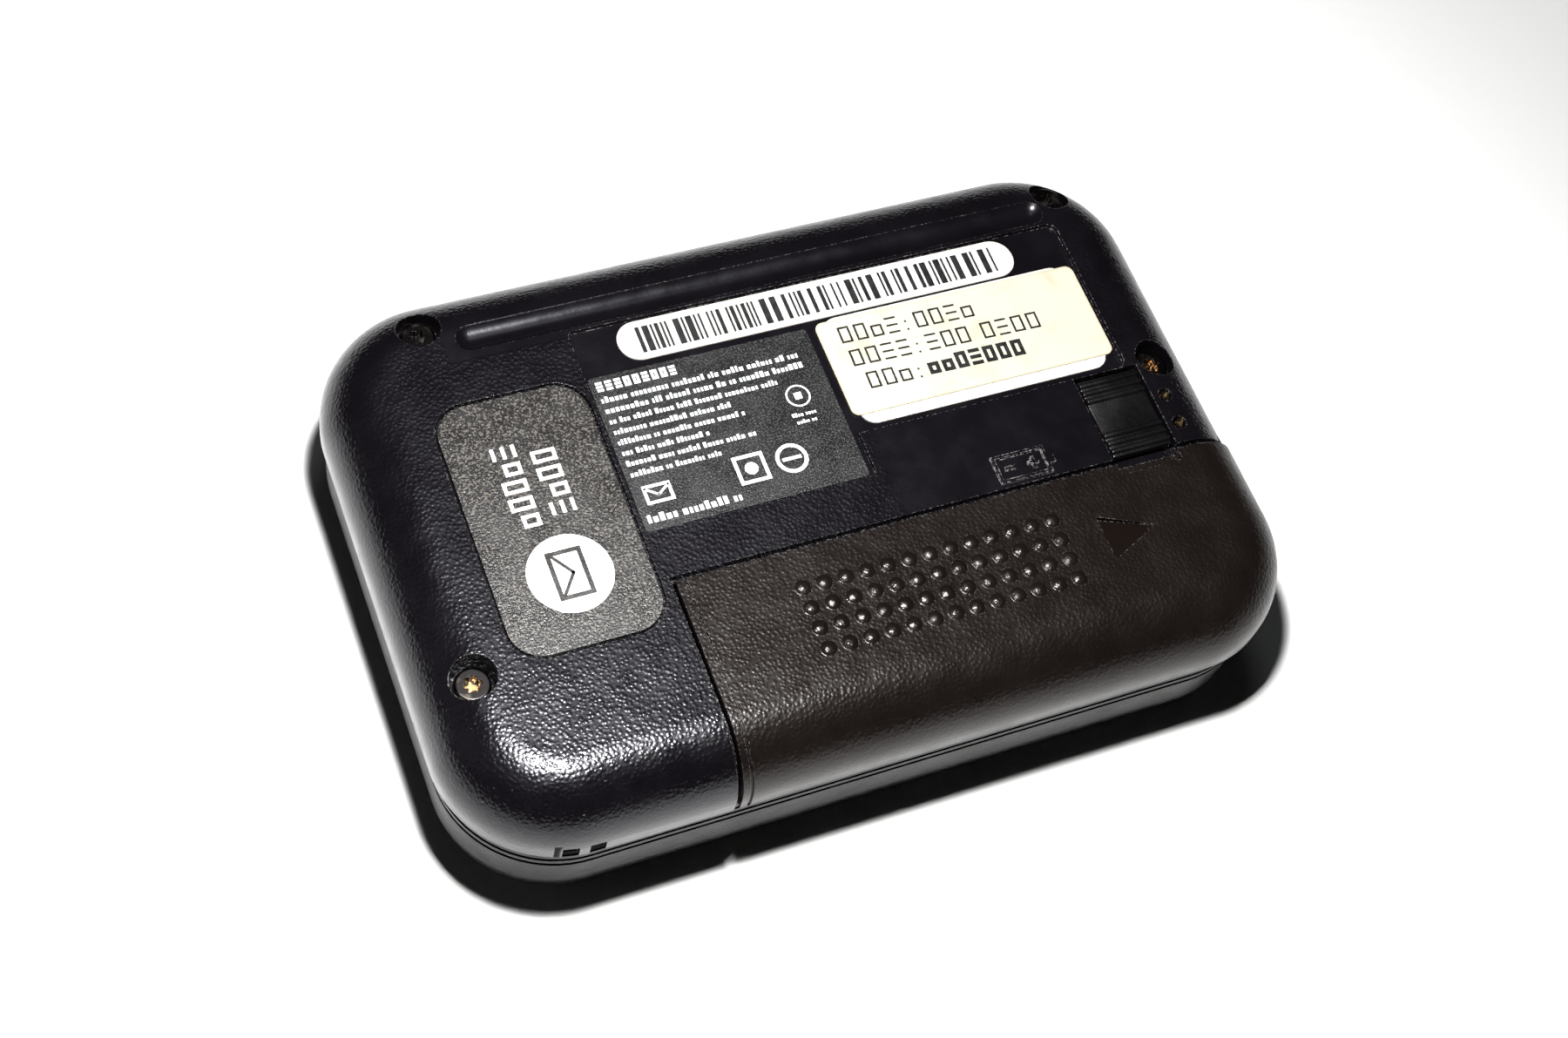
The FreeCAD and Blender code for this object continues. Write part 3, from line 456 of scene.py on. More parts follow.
@dataclass(frozen=True)
class Moulding:
    """Plain moulded plastic, rubber or epoxy, with faint flow marks and a fine skin.

    Attributes:
        name: Name of the material.
        colour: Main colour.
        flow: Colour of its flow marks.
        roughness: Middle roughness.
        skin: Height of its fine skin.
    """

    name: str
    colour: Colour
    flow: Colour
    roughness: float = 0.45
    skin: float = 0.006 * MM

    def make(self) -> bpy.types.Material:
        """Builds the material."""
        graph = ShaderGraph(self.name)
        flow = graph.span(graph.noise(3.5 * MM, 4.0), 0.35, 0.75)
        skin = graph.noise(0.1 * MM, 2.0)
        roughness = graph.span(flow, 0.0, 1.0, self.roughness - 0.05, self.roughness + 0.08)
        normal = graph.bump(skin, self.skin, graph.rounded(0.1 * MM))
        return graph.finish(Base_Color=graph.blend(flow, self.colour, self.flow),
                            Roughness=roughness, Normal=normal)


@dataclass(frozen=True)
class ClearPanel:
    """Clear or tinted glass or acrylic with faint wiping marks.

    Attributes:
        name: Name of the material.
        colour: Tint of what comes through.
        clearness: Share of the light that goes through.
        roughness: Lowest roughness.
    """

    name: str
    colour: Colour
    clearness: float = 1.0
    roughness: float = 0.04

    def make(self) -> bpy.types.Material:
        """Builds the material."""
        graph = ShaderGraph(self.name)
        wipes = graph.noise(0.4 * MM, 4.0, graph.stretched((0.12, 1.0, 1.0)))
        roughness = graph.span(wipes, 0.5, 0.8, self.roughness, self.roughness + 0.12)
        tint = graph.blend(graph.span(graph.noise(6 * MM, 3.0), 0.4, 0.8), self.colour,
                           tuple(0.94 * part for part in self.colour))
        return graph.finish(Base_Color=tint, Roughness=roughness, IOR=1.49,
                            Transmission_Weight=self.clearness,
                            Normal=graph.bump(wipes, 0.0006 * MM))


@dataclass(frozen=True)
class SolderMask:
    """Green circuit board with copper tracks that show through its solder mask.

    Attributes:
        name: Name of the material.
        mask: Colour of the mask on bare laminate.
        copper: Colour of the mask over copper.
        pitch: Distance from one track to the next.
    """

    name: str
    mask: Colour
    copper: Colour
    pitch: float = 1.1 * MM

    def make(self) -> bpy.types.Material:
        """Builds the material."""
        graph = ShaderGraph(self.name)
        bricks = graph.node("ShaderNodeTexBrick", offset=0.5, squash=1.0)
        bricks.inputs["Scale"].default_value = 1.0 / self.pitch
        bricks.inputs["Mortar Size"].default_value = 0.09
        bricks.inputs["Brick Width"].default_value = 5.0
        bricks.inputs["Row Height"].default_value = 0.7
        graph.feed(bricks.inputs["Vector"], graph.warped(7 * MM, 1.5 * MM))
        tracks = bricks.outputs["Fac"]
        vias = graph.span(graph.cells(1.9 * MM, 0.0), 0.13, 0.19, 1.0, 0.0)
        raised = graph.calc("MAXIMUM", tracks, vias)
        colour = graph.blend(raised, self.mask, self.copper)
        normal = graph.bump(raised, 0.02 * MM, graph.rounded(0.08 * MM))
        return graph.finish(Base_Color=colour, Roughness=graph.span(raised, 0, 1, 0.3, 0.4),
                            Normal=normal)


@dataclass(frozen=True)
class CellWrap:
    """Printed shrink sleeve of the battery cell, with a pale band at its positive end.

    Attributes:
        name: Name of the material.
        colour: Main colour.
        band: Colour of the band.
        band_start: Where along X the band starts.
    """

    name: str
    colour: Colour
    band: Colour
    band_start: float

    def make(self) -> bpy.types.Material:
        """Builds the material."""
        graph = ShaderGraph(self.name)
        edge = graph.span(graph.along("X"), self.band_start, self.band_start + 0.1 * MM)
        scratches = graph.span(graph.noise(0.1 * MM, 3.0, graph.stretched((0.08, 1, 1))), 0.6, 0.75)
        colour = graph.blend(edge, self.colour, self.band)
        colour = graph.blend(graph.calc("MULTIPLY", scratches, 0.3), colour, (0.5, 0.5, 0.5))
        normal = graph.bump(graph.noise(2 * MM, 2.0), 0.03 * MM)
        return graph.finish(Base_Color=colour, Roughness=graph.span(scratches, 0, 1, 0.2, 0.4),
                            Normal=normal)


@dataclass(frozen=True)
class PaleFloor:
    """Plain pale sweep that the object lies on. It glows more the farther it is from the middle: painted
    light that stands in for lamp light on the far floor.
    """

    name: str = "pale_sweep"
    colour: Colour = (0.86, 0.86, 0.85)
    glow: float = 0.8
    glow_reach: tuple[float, float] = (0.10, 0.34)

    def make(self) -> bpy.types.Material:
        """Builds the material."""
        graph = ShaderGraph(self.name)
        tooth = graph.noise(1.5 * MM, 3.0)
        away = graph.node("ShaderNodeVectorMath", operation="LENGTH")
        graph.feed(away.inputs[0], graph.place)
        # Painted light: no glow near the object, rising to full glow farther out.
        painted_glow = graph.span(away.outputs["Value"], *self.glow_reach, 0.0, self.glow)
        return graph.finish(Base_Color=self.colour, Roughness=graph.span(tooth, 0, 1, 0.6, 0.8),
                            Normal=graph.bump(tooth, 0.01 * MM),
                            Emission_Color=(1.0, 1.0, 1.0), Emission_Strength=painted_glow)


# -------------------------------------------------------------------------- helpers
def dress(finish: Any, *nodes: str) -> None:
    """Gives CAD nodes one finish.

    Args:
        finish: A finish with a make method.
        *nodes: Names of the CAD nodes.
    """
    material = finish.make()
    for name in nodes:
        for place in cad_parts[name].material_slots:
            place.material = material
        log.info("%s wears %s", name, material.name)


def middle(node: str) -> Vector:
    """Middle of a CAD node's box."""
    low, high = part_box(node)
    return (low + high) / 2


class Print:
    """Thin printed shapes on one face, gathered in one closed mesh.

    The shapes are given in the face's own two directions, from an origin on the face.
    """

    thickness = 0.012 * MM
    lift = 0.002 * MM

    def __init__(self, origin: Vector, turn: float = 0.0, faces_down: bool = False) -> None:
        """Starts an empty print.

        Args:
            origin: Point on the face that the shapes are measured from.
            turn: Turn of the print about the face's normal, in degrees.
            faces_down: True where the face looks towards -Z.
        """
        self.mesh = bmesh.new()
        flip = Matrix.Rotation(math.pi, 4, "X") if faces_down else Matrix.Identity(4)
        turned = Matrix.Rotation(math.radians(turn), 4, "Z")
        self.frame = Matrix.Translation(origin) @ turned @ flip

    def block(self, x: float, y: float, width: float, height: float, layer: int = 0) -> None:
        """Adds a plain rectangle.

        Args:
            x: Its left edge.
            y: Its lower edge.
            width: Its size along x.
            height: Its size along y.
            layer: How many inks lie under it.
        """
        z = self.lift + self.thickness * (layer + 0.5)
        centre = Matrix.Translation((x + width / 2, y + height / 2, z))
        size = Matrix.Diagonal((width, height, self.thickness, 1.0))
        bmesh.ops.create_cube(self.mesh, size=1.0, matrix=self.frame @ centre @ size)

    def frame_of(self, x: float, y: float, width: float, height: float, line: float,
                 layer: int = 0) -> None:
        """Adds the outline of a rectangle, its lines inside its edges."""
        self.block(x, y, width, line, layer)
        self.block(x, y + height - line, width, line, layer)
        self.block(x, y + line, line, height - 2 * line, layer)
        self.block(x + width - line, y + line, line, height - 2 * line, layer)

    def disc(self, x: float, y: float, radius: float, layer: int = 0, sides: int = 64,
             turn: float = 0.0) -> None:
        """Adds a filled circle, or a regular polygon where sides is small."""
        z = self.lift + self.thickness * (layer + 0.5)
        place = Matrix.Translation((x, y, z)) @ Matrix.Rotation(math.radians(turn), 4, "Z")
        bmesh.ops.create_cone(self.mesh, cap_ends=True, segments=sides, radius1=radius,
                              radius2=radius, depth=self.thickness, matrix=self.frame @ place)

    def ring(self, x: float, y: float, radius: float, line: float, layer: int = 0) -> None:
        """Adds a ring whose outer radius is radius."""
        start = Vector((x + radius - line, y, self.lift + self.thickness * layer))
        corners = [start + Vector(step) for step in (
            (0, 0, 0), (line, 0, 0), (line, 0, self.thickness), (0, 0, self.thickness))]
        points = [self.mesh.verts.new(self.frame @ corner) for corner in corners]
        section = self.mesh.faces.new(points)
        axis = self.frame.to_3x3() @ Vector((0, 0, 1))
        bmesh.ops.spin(self.mesh, geom=[section], cent=self.frame @ Vector((x, y, 0)), axis=axis,
                       angle=math.tau, steps=64, use_merge=True)
        bmesh.ops.delete(self.mesh, geom=[section], context="FACES_ONLY")

    def stroke(self, start: tuple[float, float], end: tuple[float, float], line: float,
               layer: int = 0) -> None:
        """Adds a straight stroke from one point to another."""
        run = Vector(end) - Vector(start)
        centre = (Vector(start) + Vector(end)) / 2
        z = self.lift + self.thickness * (layer + 0.5)
        place = Matrix.Translation((centre.x, centre.y, z))
        place = place @ Matrix.Rotation(math.atan2(run.y, run.x), 4, "Z")
        size = Matrix.Diagonal((run.length + line * 0.7, line, self.thickness, 1.0))
        bmesh.ops.create_cube(self.mesh, size=1.0, matrix=self.frame @ place @ size)

    def piece(self, name: str, finish: Any, body: str, slot: str) -> bpy.types.Object:
        """Closes the print.

        Args:
            name: Name of the new piece.
            finish: Finish of the ink.
            body: CAD body that it rides on.
            slot: Material slot; not used.

        Returns:
            The new object.
        """
        return settle(self.mesh, name, finish, body)


def settle(mesh: bmesh.types.BMesh, name: str, finish: Any, body: str,
           smooth_angle: float | None = None) -> bpy.types.Object:
    """Makes an object of a finished mesh, which stays where it was modelled.

    Args:
        mesh: The finished mesh, which is freed.
        name: Name of the new piece.
        finish: Its finish.
        body: CAD body that it rides on.
        smooth_angle: Faces that meet at less than this many degrees are shaded as one.

    Returns:
        The new object.
    """
    bmesh.ops.recalc_face_normals(mesh, faces=mesh.faces)
    data = bpy.data.meshes.new(name)
    mesh.to_mesh(data)
    mesh.free()
    data.materials.append(finish.make())
    if smooth_angle:
        data.shade_smooth()
        data.set_sharp_from_angle(angle=math.radians(smooth_angle))
    piece = bpy.data.objects.new(name, data)
    bpy.context.scene.collection.objects.link(piece)
    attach(piece, body)
    log.info("%s: %d faces on body %s", name, len(data.polygons), body)
    return piece


class Glyph(Enum):
    """Plain stand-ins for printed characters."""

    TALL_BOX = "tall box"
    LOW_BOX = "low box"
    DASHES = "dashes"
    DOT = "dot"


@dataclass
class Writing:
    """Rows of plain stand-in characters.

    Attributes:
        sheet: The print that they are added to.
        dice: Seeded source of their order.
        line: Width of a stroke.
    """

    sheet: Print
    dice: random.Random
    line: float

    def character(self, kind: Glyph, x: float, y: float, width: float, height: float) -> None:
        """Adds one character whose lower left corner is at x, y."""
        line = self.line
        if kind is Glyph.TALL_BOX:
            self.sheet.frame_of(x, y, width, height, line)
        elif kind is Glyph.LOW_BOX:
            self.sheet.frame_of(x, y, width, height * 0.72, line)
        elif kind is Glyph.DASHES:
            for step in (0.0, 0.5, 1.0):
                self.sheet.block(x, y + step * (height - line), width, line)
        else:
            self.sheet.block(x + (width - line) / 2, y, line, line)
            self.sheet.block(x + (width - line) / 2, y + height * 0.5, line, line)

    def word(self, x: float, y: float, width: float, height: float, pitch: float,
             letters: int) -> float:
        """Adds a run of characters.

        Args:
            x: Left edge of the first one.
            y: Lower edge of the row.
            width: Width of a character.
            height: Height of a character.
            pitch: Distance from one character to the next.
            letters: How many there are.

        Returns:
            Where the next word may start.
        """
        shapes = (Glyph.TALL_BOX, Glyph.TALL_BOX, Glyph.LOW_BOX, Glyph.DASHES)
        for index in range(letters):
            self.character(self.dice.choice(shapes), x + index * pitch, y, width, height)
        return x + letters * pitch

    def small_row(self, x: float, y: float, length: float, height: float) -> None:
        """Adds a row too small to read: short upright marks of uneven height, in words."""
        end = x + length
        while x < end:
            letters = self.dice.randint(2, 9)
            for _ in range(letters):
                width = height * self.dice.uniform(0.3, 0.62)
                tall = height * self.dice.choice((0.68, 0.68, 0.72, 1.0))
                if x + width > end:
                    break
                self.sheet.block(x, y, width, tall)
                x += width + height * 0.2
            x += height * 0.42


# --------------------------------------------------------------------- sub-assemblies
@dataclass
class CaseShells:
    """The two halves of the case and the cord that seals them.

    Attributes:
        scuff_reach: Width and length of the scratched corner.
        recess_depth: Depth of the labels' recess.
        pad_gap: Distance from the black label to the smooth pad.
        mark_length: Distance from the latch to the far end of the raised pictogram.
        mark_width: Distance from the door to the far side of the pictogram.
        clear: Room left above, below and beside the boxes.
        groove_band: Distance from the far side to the near side of the groove's band.
        groove_width: Width of that band.
        groove_start: Distance from the case's left end to the groove.
        groove_end: Distance from the groove to the case's right end.
        notch_start: Nearest corner of the strap notches from the case's corner, along X and Y.
        notch_end: Their farthest corner from the same corner.
    """

    scuff_reach: float = 14 * MM
    recess_depth: float = 0.45 * MM
    pad_gap: float = 2.5 * MM
    mark_length: float = 11 * MM
    mark_width: float = 5 * MM
    clear: float = 1 * MM
    groove_band: float = 9.0 * MM
    groove_width: float = 4.2 * MM
    groove_start: float = 12 * MM
    groove_end: float = 8 * MM
    notch_start: tuple[float, float] = (7.5 * MM, 0.5 * MM)
    notch_end: tuple[float, float] = (12.5 * MM, 5 * MM)

    def build(self) -> None:
        """Dresses the shells."""
        low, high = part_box("rear_housing")
        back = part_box("serial_label_lower")[0].z + self.recess_depth
        scuffs = (low, Vector((low.x + self.scuff_reach, low.y + self.scuff_reach, high.z)))
        calm = ((*self.label_recess(back), 0.1 * MM), (*self.smooth_pad(back, high.z), 2.5 * MM),
                (*self.far_groove(low, high, back), 0.3 * MM))
        notches = self.strap_notches(low)
        # Painted glints on the back: pale flecks on its edges and on the pictogram's raised lines.
        dress(GrainedPlastic("case_grain", (0.0022, 0.0017, 0.0025), (0.003, 0.0024, 0.0034),
                             calm=calm, gloss=(0.21, 0.28), scuffs=scuffs,
                             glint_box=self.pictogram(back, high.z), shaded=notches, shine=0.45,
                             gleam=(0.94, 0.94, 1.0)), "rear_housing")
        # Painted shade: the front half's plastic is darker than the back's and reflects weakly, so its
        # sides read as lying in shadow.
        dress(GrainedPlastic("front_grain_painted_shade", (0.0014, 0.0013, 0.0016), (0.002, 0.0019, 0.0022),
                             depth=0.012 * MM, gloss=(0.28, 0.36), shaded=notches, shine=0.1,
                             edge_glint=0.0, fade=(0.0, 2 * MM)), "front_housing")
        dress(Moulding("seal", (0.002, 0.002, 0.002), (0.004, 0.004, 0.004), 0.7), "case_gasket")

    def label_recess(self, back: float) -> Box:
        """Box round the recess's floor, which lies below the back's flat."""
        boxes = [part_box(name) for name in LABELS]
        low = Vector((min(box[0].x for box in boxes), min(box[0].y for box in boxes),
                      back - self.recess_depth - 0.1 * MM))
        high = Vector((max(box[1].x for box in boxes), max(box[1].y for box in boxes),
                       back - self.recess_depth / 2))
        return low, high

    def smooth_pad(self, back: float, top: float) -> Box:
        """Box round the smooth pad between the black label, the latch and the door."""
        low = Vector((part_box("rating_label")[1].x + self.pad_gap,
                      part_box("battery_door")[1].y + 0.5 * MM, back - self.clear))
        high = Vector((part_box("door_latch")[0].x, self.label_recess(back)[0].y + 4 * MM,
                       top + self.clear))
        return low, high

    def pictogram(self, back: float, top: float) -> Box:
        """Box round the pictogram, which stands up from the back's flat."""
        latch_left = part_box("door_latch")[0].x
        door_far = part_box("battery_door")[1].y
        low = Vector((latch_left - self.mark_length, door_far, back + 0.02 * MM))
        high = Vector((latch_left - self.clear, door_far + self.mark_width, top + self.clear))
        return low, high

    def far_groove(self, low: Vector, high: Vector, back: float) -> Box:
        """Box round the groove along the far side of the case."""
        near = high.y - self.groove_band
        return (Vector((low.x + self.groove_start, near, back - 2 * MM)),
                Vector((high.x - self.groove_end, near + self.groove_width, high.z)))

    def strap_notches(self, corner: Vector) -> Box:
        """Box round the insides of the two strap notches at the seam."""
        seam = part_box("front_housing")[1].z
        start_x, start_y = self.notch_start
        end_x, end_y = self.notch_end
        return (Vector((corner.x + start_x, corner.y + start_y, seam - 1 * MM)),
                Vector((corner.x + end_x, corner.y + end_y, seam + 2 * MM)))


@dataclass
class BatteryDoor:
    """The door, the cell behind it and the cell's contacts.

    Attributes:
        band_length: Length of the pale band at the cell's end.
        arrow_inset: Distance from the door's right end to the sunk arrow's tip.
        arrow_length: Length of the box round the arrow.
        arrow_width: Width of that box.
        arrow_gap: Distance from the door's far side to that box.
        arrow_depths: How far below the door's top the box starts and ends.
    """

    band_length: float = 12 * MM
    arrow_inset: float = 12.6 * MM
    arrow_length: float = 6 * MM
    arrow_width: float = 7 * MM
    arrow_gap: float = 4 * MM
    arrow_depths: tuple[float, float] = (0.5 * MM, 1.2 * MM)

    def build(self) -> None:
        """Dresses the door and what is behind it."""
        cell_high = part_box("cell_jacket")[1]
        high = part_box("battery_door")[1]
        upper, lower = self.arrow_depths
        arrow_high = Vector((high.x - self.arrow_inset, high.y - self.arrow_gap, high.z - upper))
        arrow_low = Vector((arrow_high.x - self.arrow_length, arrow_high.y - self.arrow_width,
                            high.z - lower))
        dress(GrainedPlastic("door_grain", (0.0042, 0.0026, 0.0022), (0.005, 0.0034, 0.0028),
                             gloss=(0.27, 0.35), shine=0.33, gleam=(1.0, 0.95, 0.92),
                             calm=((arrow_low, arrow_high, 0.05 * MM),),
                             shaded=(arrow_low, arrow_high), shade=0.1), "battery_door")
        dress(CellWrap("cell_sleeve", (0.012, 0.03, 0.10), (0.55, 0.56, 0.55),
                       cell_high.x - self.band_length), "cell_jacket")
        dress(Metal("nickel", (0.72, 0.70, 0.66), (0.55, 0.53, 0.5), 0.22, (1.0, 0.1, 0.1)),
              "battery_cell", "positive_contact", "negative_contact")


@dataclass
class DoorLatch:
    """Thumb slide with three ribs at each end, a sunk middle and a foot under the roof.

    Attributes:
        rib_width: Width of a rib at its foot.
        rib_pitch: Distance from one rib to the next.
        rib_inset: Distance from the slide's end to the first rib's middle.
        rib_height: How far a rib stands up.
        edge: Radius of the rounded edges.
        thickness: Thickness of the slide under its ribs.
        foot_reach: How far the foot reaches past the slide's sides.
        foot_height: Height of the foot's wide part.
        foot_inset: Distance from the slide's near end to the foot.
        foot_width: Size of the foot along Y.
        bite: How far the foot's neck goes into the slide.
    """

    rib_width: float = 0.62 * MM
    rib_pitch: float = 0.85 * MM
    rib_inset: float = 0.55 * MM
    rib_height: float = 0.3 * MM
    edge: float = 0.09 * MM
    thickness: float = 0.75 * MM
    foot_reach: float = 0.9 * MM
    foot_height: float = 1.0 * MM
    foot_inset: float = 2.8 * MM
    foot_width: float = 3.2 * MM
    bite: float = 0.02 * MM

    def build(self) -> None:
        """Builds the slide in place of its CAD node and dresses its spring."""
        low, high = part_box("door_latch")
        top = high.z - self.rib_height
        under = top - self.thickness
        left = low.x + self.foot_reach
        right = high.x - self.foot_reach
        mesh = bmesh.new()
        self.slab(mesh, (left, low.y, under), (right, high.y, top))
        ribs = self.rib_places(low.y, high.y)
        for y in ribs:
            for side in (-0.5, 0.5):
                bmesh.ops.bisect_plane(mesh, geom=mesh.verts[:] + mesh.edges[:] + mesh.faces[:],
                                       plane_co=(0, y + side * self.rib_width, 0),
                                       plane_no=(0, 1, 0))
        self.raise_ribs(mesh, ribs, top)
        outer = [e for e in mesh.edges if e.calc_face_angle(0.0) > math.radians(25)]
        bmesh.ops.bevel(mesh, geom=outer, offset=self.edge, offset_type="OFFSET",
                        affect="EDGES", segments=3, profile=0.5, material=-1)
        near = low.y + self.foot_inset
        far = near + self.foot_width
        ledge = low.z + self.foot_height
        self.slab(mesh, (low.x, near, low.z), (high.x, far, ledge))
        self.slab(mesh, (left, near, ledge), (right, far, under + self.bite))
        finish = SparkPlastic("latch_black", (0.002, 0.002, 0.0022), (0.004, 0.004, 0.0045),
                              depth=0.02 * MM, roughness=0.3)
        slide = settle(mesh, "latch_slide_piece", finish, "latch", 35)
        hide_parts("door_latch")
        dress(Metal("spring_leaf", (0.62, 0.61, 0.58), (0.5, 0.49, 0.47), 0.25), "latch_spring")

    def slab(self, mesh: bmesh.types.BMesh, low: tuple[float, float, float],
             high: tuple[float, float, float]) -> None:
        """Adds an upright block between two corners."""
        low_corner, high_corner = Vector(low), Vector(high)
        size = high_corner - low_corner
        centre = Matrix.Translation((low_corner + high_corner) / 2)
        bmesh.ops.create_cube(mesh, size=1.0, matrix=centre @ Matrix.Diagonal((*size, 1.0)))

    def rib_places(self, near: float, far: float) -> list[float]:
        """Middle of each rib along Y."""
        steps = [self.rib_inset + index * self.rib_pitch for index in range(3)]
        return [near + step for step in steps] + [far - step for step in steps]

    def raise_ribs(self, mesh: bmesh.types.BMesh, ribs: list[float], top: float) -> None:
        """Draws the ribs out of the slide's top, narrower at their crowns.

        Args:
            mesh: The slide.
            ribs: Middle of each rib along Y.
            top: Height of the slide's top face.
        """
        for y in ribs:
            crown = [f for f in mesh.faces if f.normal.z > 0.9
                     and abs(f.calc_center_median().y - y) < self.rib_width / 4
                     and abs(f.calc_center_median().z - top) < 0.01 * MM]
            drawn = bmesh.ops.extrude_face_region(mesh, geom=crown)
            points = [v for v in drawn["geom"] if isinstance(v, bmesh.types.BMVert)]
            bmesh.ops.delete(mesh, geom=crown, context="FACES_ONLY")
            bmesh.ops.translate(mesh, verts=points, vec=(0, 0, self.rib_height))
            middle_of_rib = Matrix.Translation((0, -y, 0))
            bmesh.ops.scale(mesh, verts=points, vec=(1, 0.5, 1), space=middle_of_rib)


LABELS = ("rating_label", "barcode_label", "serial_label_lower", "serial_label_upper")


@dataclass
class StuckLabels:
    """The four labels in the recess and the printed badge, with their prints.

    Attributes:
        bar_margin: Plain ends of the barred strip.
        bar_height: Height of its bars.
        text_height: Height of the large characters on the top label.
        row_pitch: Distance from one of their rows to the next.
        letter_width: Width of one of those characters.
        small_pitch: Distance from one small row of the black film to the next.
        sign_reach: Distance from the badge's middle to its round sign's middle.
        envelope: Width and height of the envelope in the sign.
    """

    bar_margin: float = 2.0 * MM
    bar_height: float = 2.75 * MM
    text_height: float = 1.75 * MM
    row_pitch: float = 2.6 * MM
    letter_width: float = 1.12 * MM
    small_pitch: float = 1.12 * MM
    sign_reach: float = 5.7 * MM
    envelope: tuple[float, float] = (4.7 * MM, 3.2 * MM)

    def build(self) -> None:
        """Dresses the labels and prints on them."""
        white = Paper("white_film", (0.48, 0.48, 0.465), (0.34, 0.31, 0.25), 0.42)
        dress(white, "barcode_label", "serial_label_lower")
        dress(Paper("cream_paper", (0.41, 0.385, 0.30), (0.29, 0.245, 0.155), 0.6), "serial_label_upper")
        film = SparkPlastic("label_film", (0.003, 0.003, 0.003), (0.045, 0.045, 0.047), 0.15 * MM,
                            0.045 * MM, 0.36)
        dress(film, "rating_label")
        dress(SparkPlastic("badge_face", (0.005, 0.0045, 0.004), (0.09, 0.08, 0.07), 0.18 * MM,
                           0.055 * MM, 0.36), "badge_plate")
        self.print_bars()
        self.print_serial_rows()
        self.print_rating_rows()
        self.print_badge()

    def print_bars(self) -> None:
        """Prints the plain barred strip."""
        low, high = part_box("barcode_label")
        sheet = Print(Vector((low.x, (low.y + high.y) / 2, high.z)))
        dice = random.Random(7)
        x = self.bar_margin
        end = high.x - low.x - self.bar_margin
        while x < end:
            width = dice.choice((0.2, 0.2, 0.38, 0.6)) * MM
            sheet.block(x, -self.bar_height / 2, min(width, end - x), self.bar_height)
            x += width + dice.choice((0.2, 0.26, 0.4, 0.6)) * MM
        sheet.piece("strip_bars", Ink("bar_ink", (0.003, 0.003, 0.003), (0.012, 0.012, 0.012)),
                    "case", "white_label")

    def print_serial_rows(self) -> None:
        """Prints three rows of plain characters on the top label."""
        low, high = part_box("serial_label_upper")
        sheet = Print(Vector((low.x, low.y, high.z)), turn=-1.6)
        thin = Writing(sheet, random.Random(3), 0.2 * MM)
        bold = Writing(sheet, random.Random(5), 0.4 * MM)
        left = 1.7 * MM
        top = high.y - low.y - 0.85 * MM - self.text_height
        for row, (start, groups) in enumerate(((0.0, (4, 0, 4)), (0.2 * MM, (4, 0, 3, 1, 4)),
                                               (0.9 * MM, (3, 0)))):
            x = left + start
            y = top - row * self.row_pitch
            for letters in groups:
                if letters > 1:
                    x = thin.word(x, y, self.letter_width, self.text_height, 1.56 * MM, letters)
                elif letters == 0:
                    thin.character(Glyph.DOT, x, y, 0.7 * MM, self.text_height)
                    x += 1.3 * MM
                else:
                    x += 0.9 * MM
        bold.word(x, y + 0.1 * MM, self.letter_width, self.text_height, 1.42 * MM, 7)
        sheet.piece("serial_rows", Ink("row_ink", (0.003, 0.003, 0.003), (0.03, 0.027, 0.02)),
                    "case", "cream_label")

    def print_rating_rows(self) -> None:
        """Prints small unreadable rows on the black film, then its plain marks."""
        low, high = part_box("rating_label")
        sheet = Print(Vector((low.x, low.y, high.z)))
        writing = Writing(sheet, random.Random(11), 0.2 * MM)
        width = high.x - low.x
        top = high.y - low.y
        left = 0.55 * MM
        writing.line = 0.26 * MM
        writing.word(left, top - 1.55 * MM, 0.62 * MM, 1.0 * MM, 0.86 * MM, 9)
        writing.line = 0.2 * MM
        rows = ((0.96, 0.62), (0.96, 0.62), (0.80, 0.56), (0.55, 0.56), (0.60, 0.56),
                (0.42, 0.56), (0.62, 0.56), (0.44, 0.56))
        y = top - 2.75 * MM
        for share, height in rows:
            writing.small_row(left, y, (width - 2 * left) * share, height * MM)
            y -= self.small_pitch
        self.print_marks(sheet, writing, width, top)
        sheet.piece("rating_rows", Ink("film_ink", (0.62, 0.63, 0.64), (0.35, 0.35, 0.36)),
                    "case", "black_label")

    def print_marks(self, sheet: Print, writing: Writing, width: float, top: float) -> None:
        """Prints a ring round a square, a dot in a frame, a barred ring and an envelope.

        Args:
            sheet: The black film's print.
            writing: Its small rows.
            width: Width of the film.
            top: Height of the film's far edge above its near one.
        """
        across, up = width - 3.3 * MM, top - 6.6 * MM
        sheet.ring(across, up, 1.15 * MM, 0.17 * MM)
        sheet.disc(across, up, 0.5 * MM, sides=4, turn=45)
        writing.small_row(width - 4.6 * MM, top - 8.7 * MM, 2.4 * MM, 0.4 * MM)
        writing.small_row(width - 4.4 * MM, top - 9.45 * MM, 2.0 * MM, 0.4 * MM)
        level = 3.55 * MM
        sheet.frame_of(9.6 * MM, level - 1.45 * MM, 2.9 * MM, 2.9 * MM, 0.34 * MM)
        sheet.disc(11.05 * MM, level, 0.62 * MM)
        sheet.ring(14.9 * MM, level, 1.5 * MM, 0.36 * MM)
        sheet.block(14.0 * MM, level - 0.17 * MM, 1.8 * MM, 0.34 * MM)
        sheet.frame_of(1.0 * MM, 2.5 * MM, 2.6 * MM, 1.9 * MM, 0.3 * MM)
        for start in (1.2 * MM, 3.4 * MM):
            sheet.stroke((start, 4.1 * MM), (2.3 * MM, 3.3 * MM), 0.22 * MM)
        writing.small_row(0.5 * MM, 0.75 * MM, 8.8 * MM, 0.82 * MM)

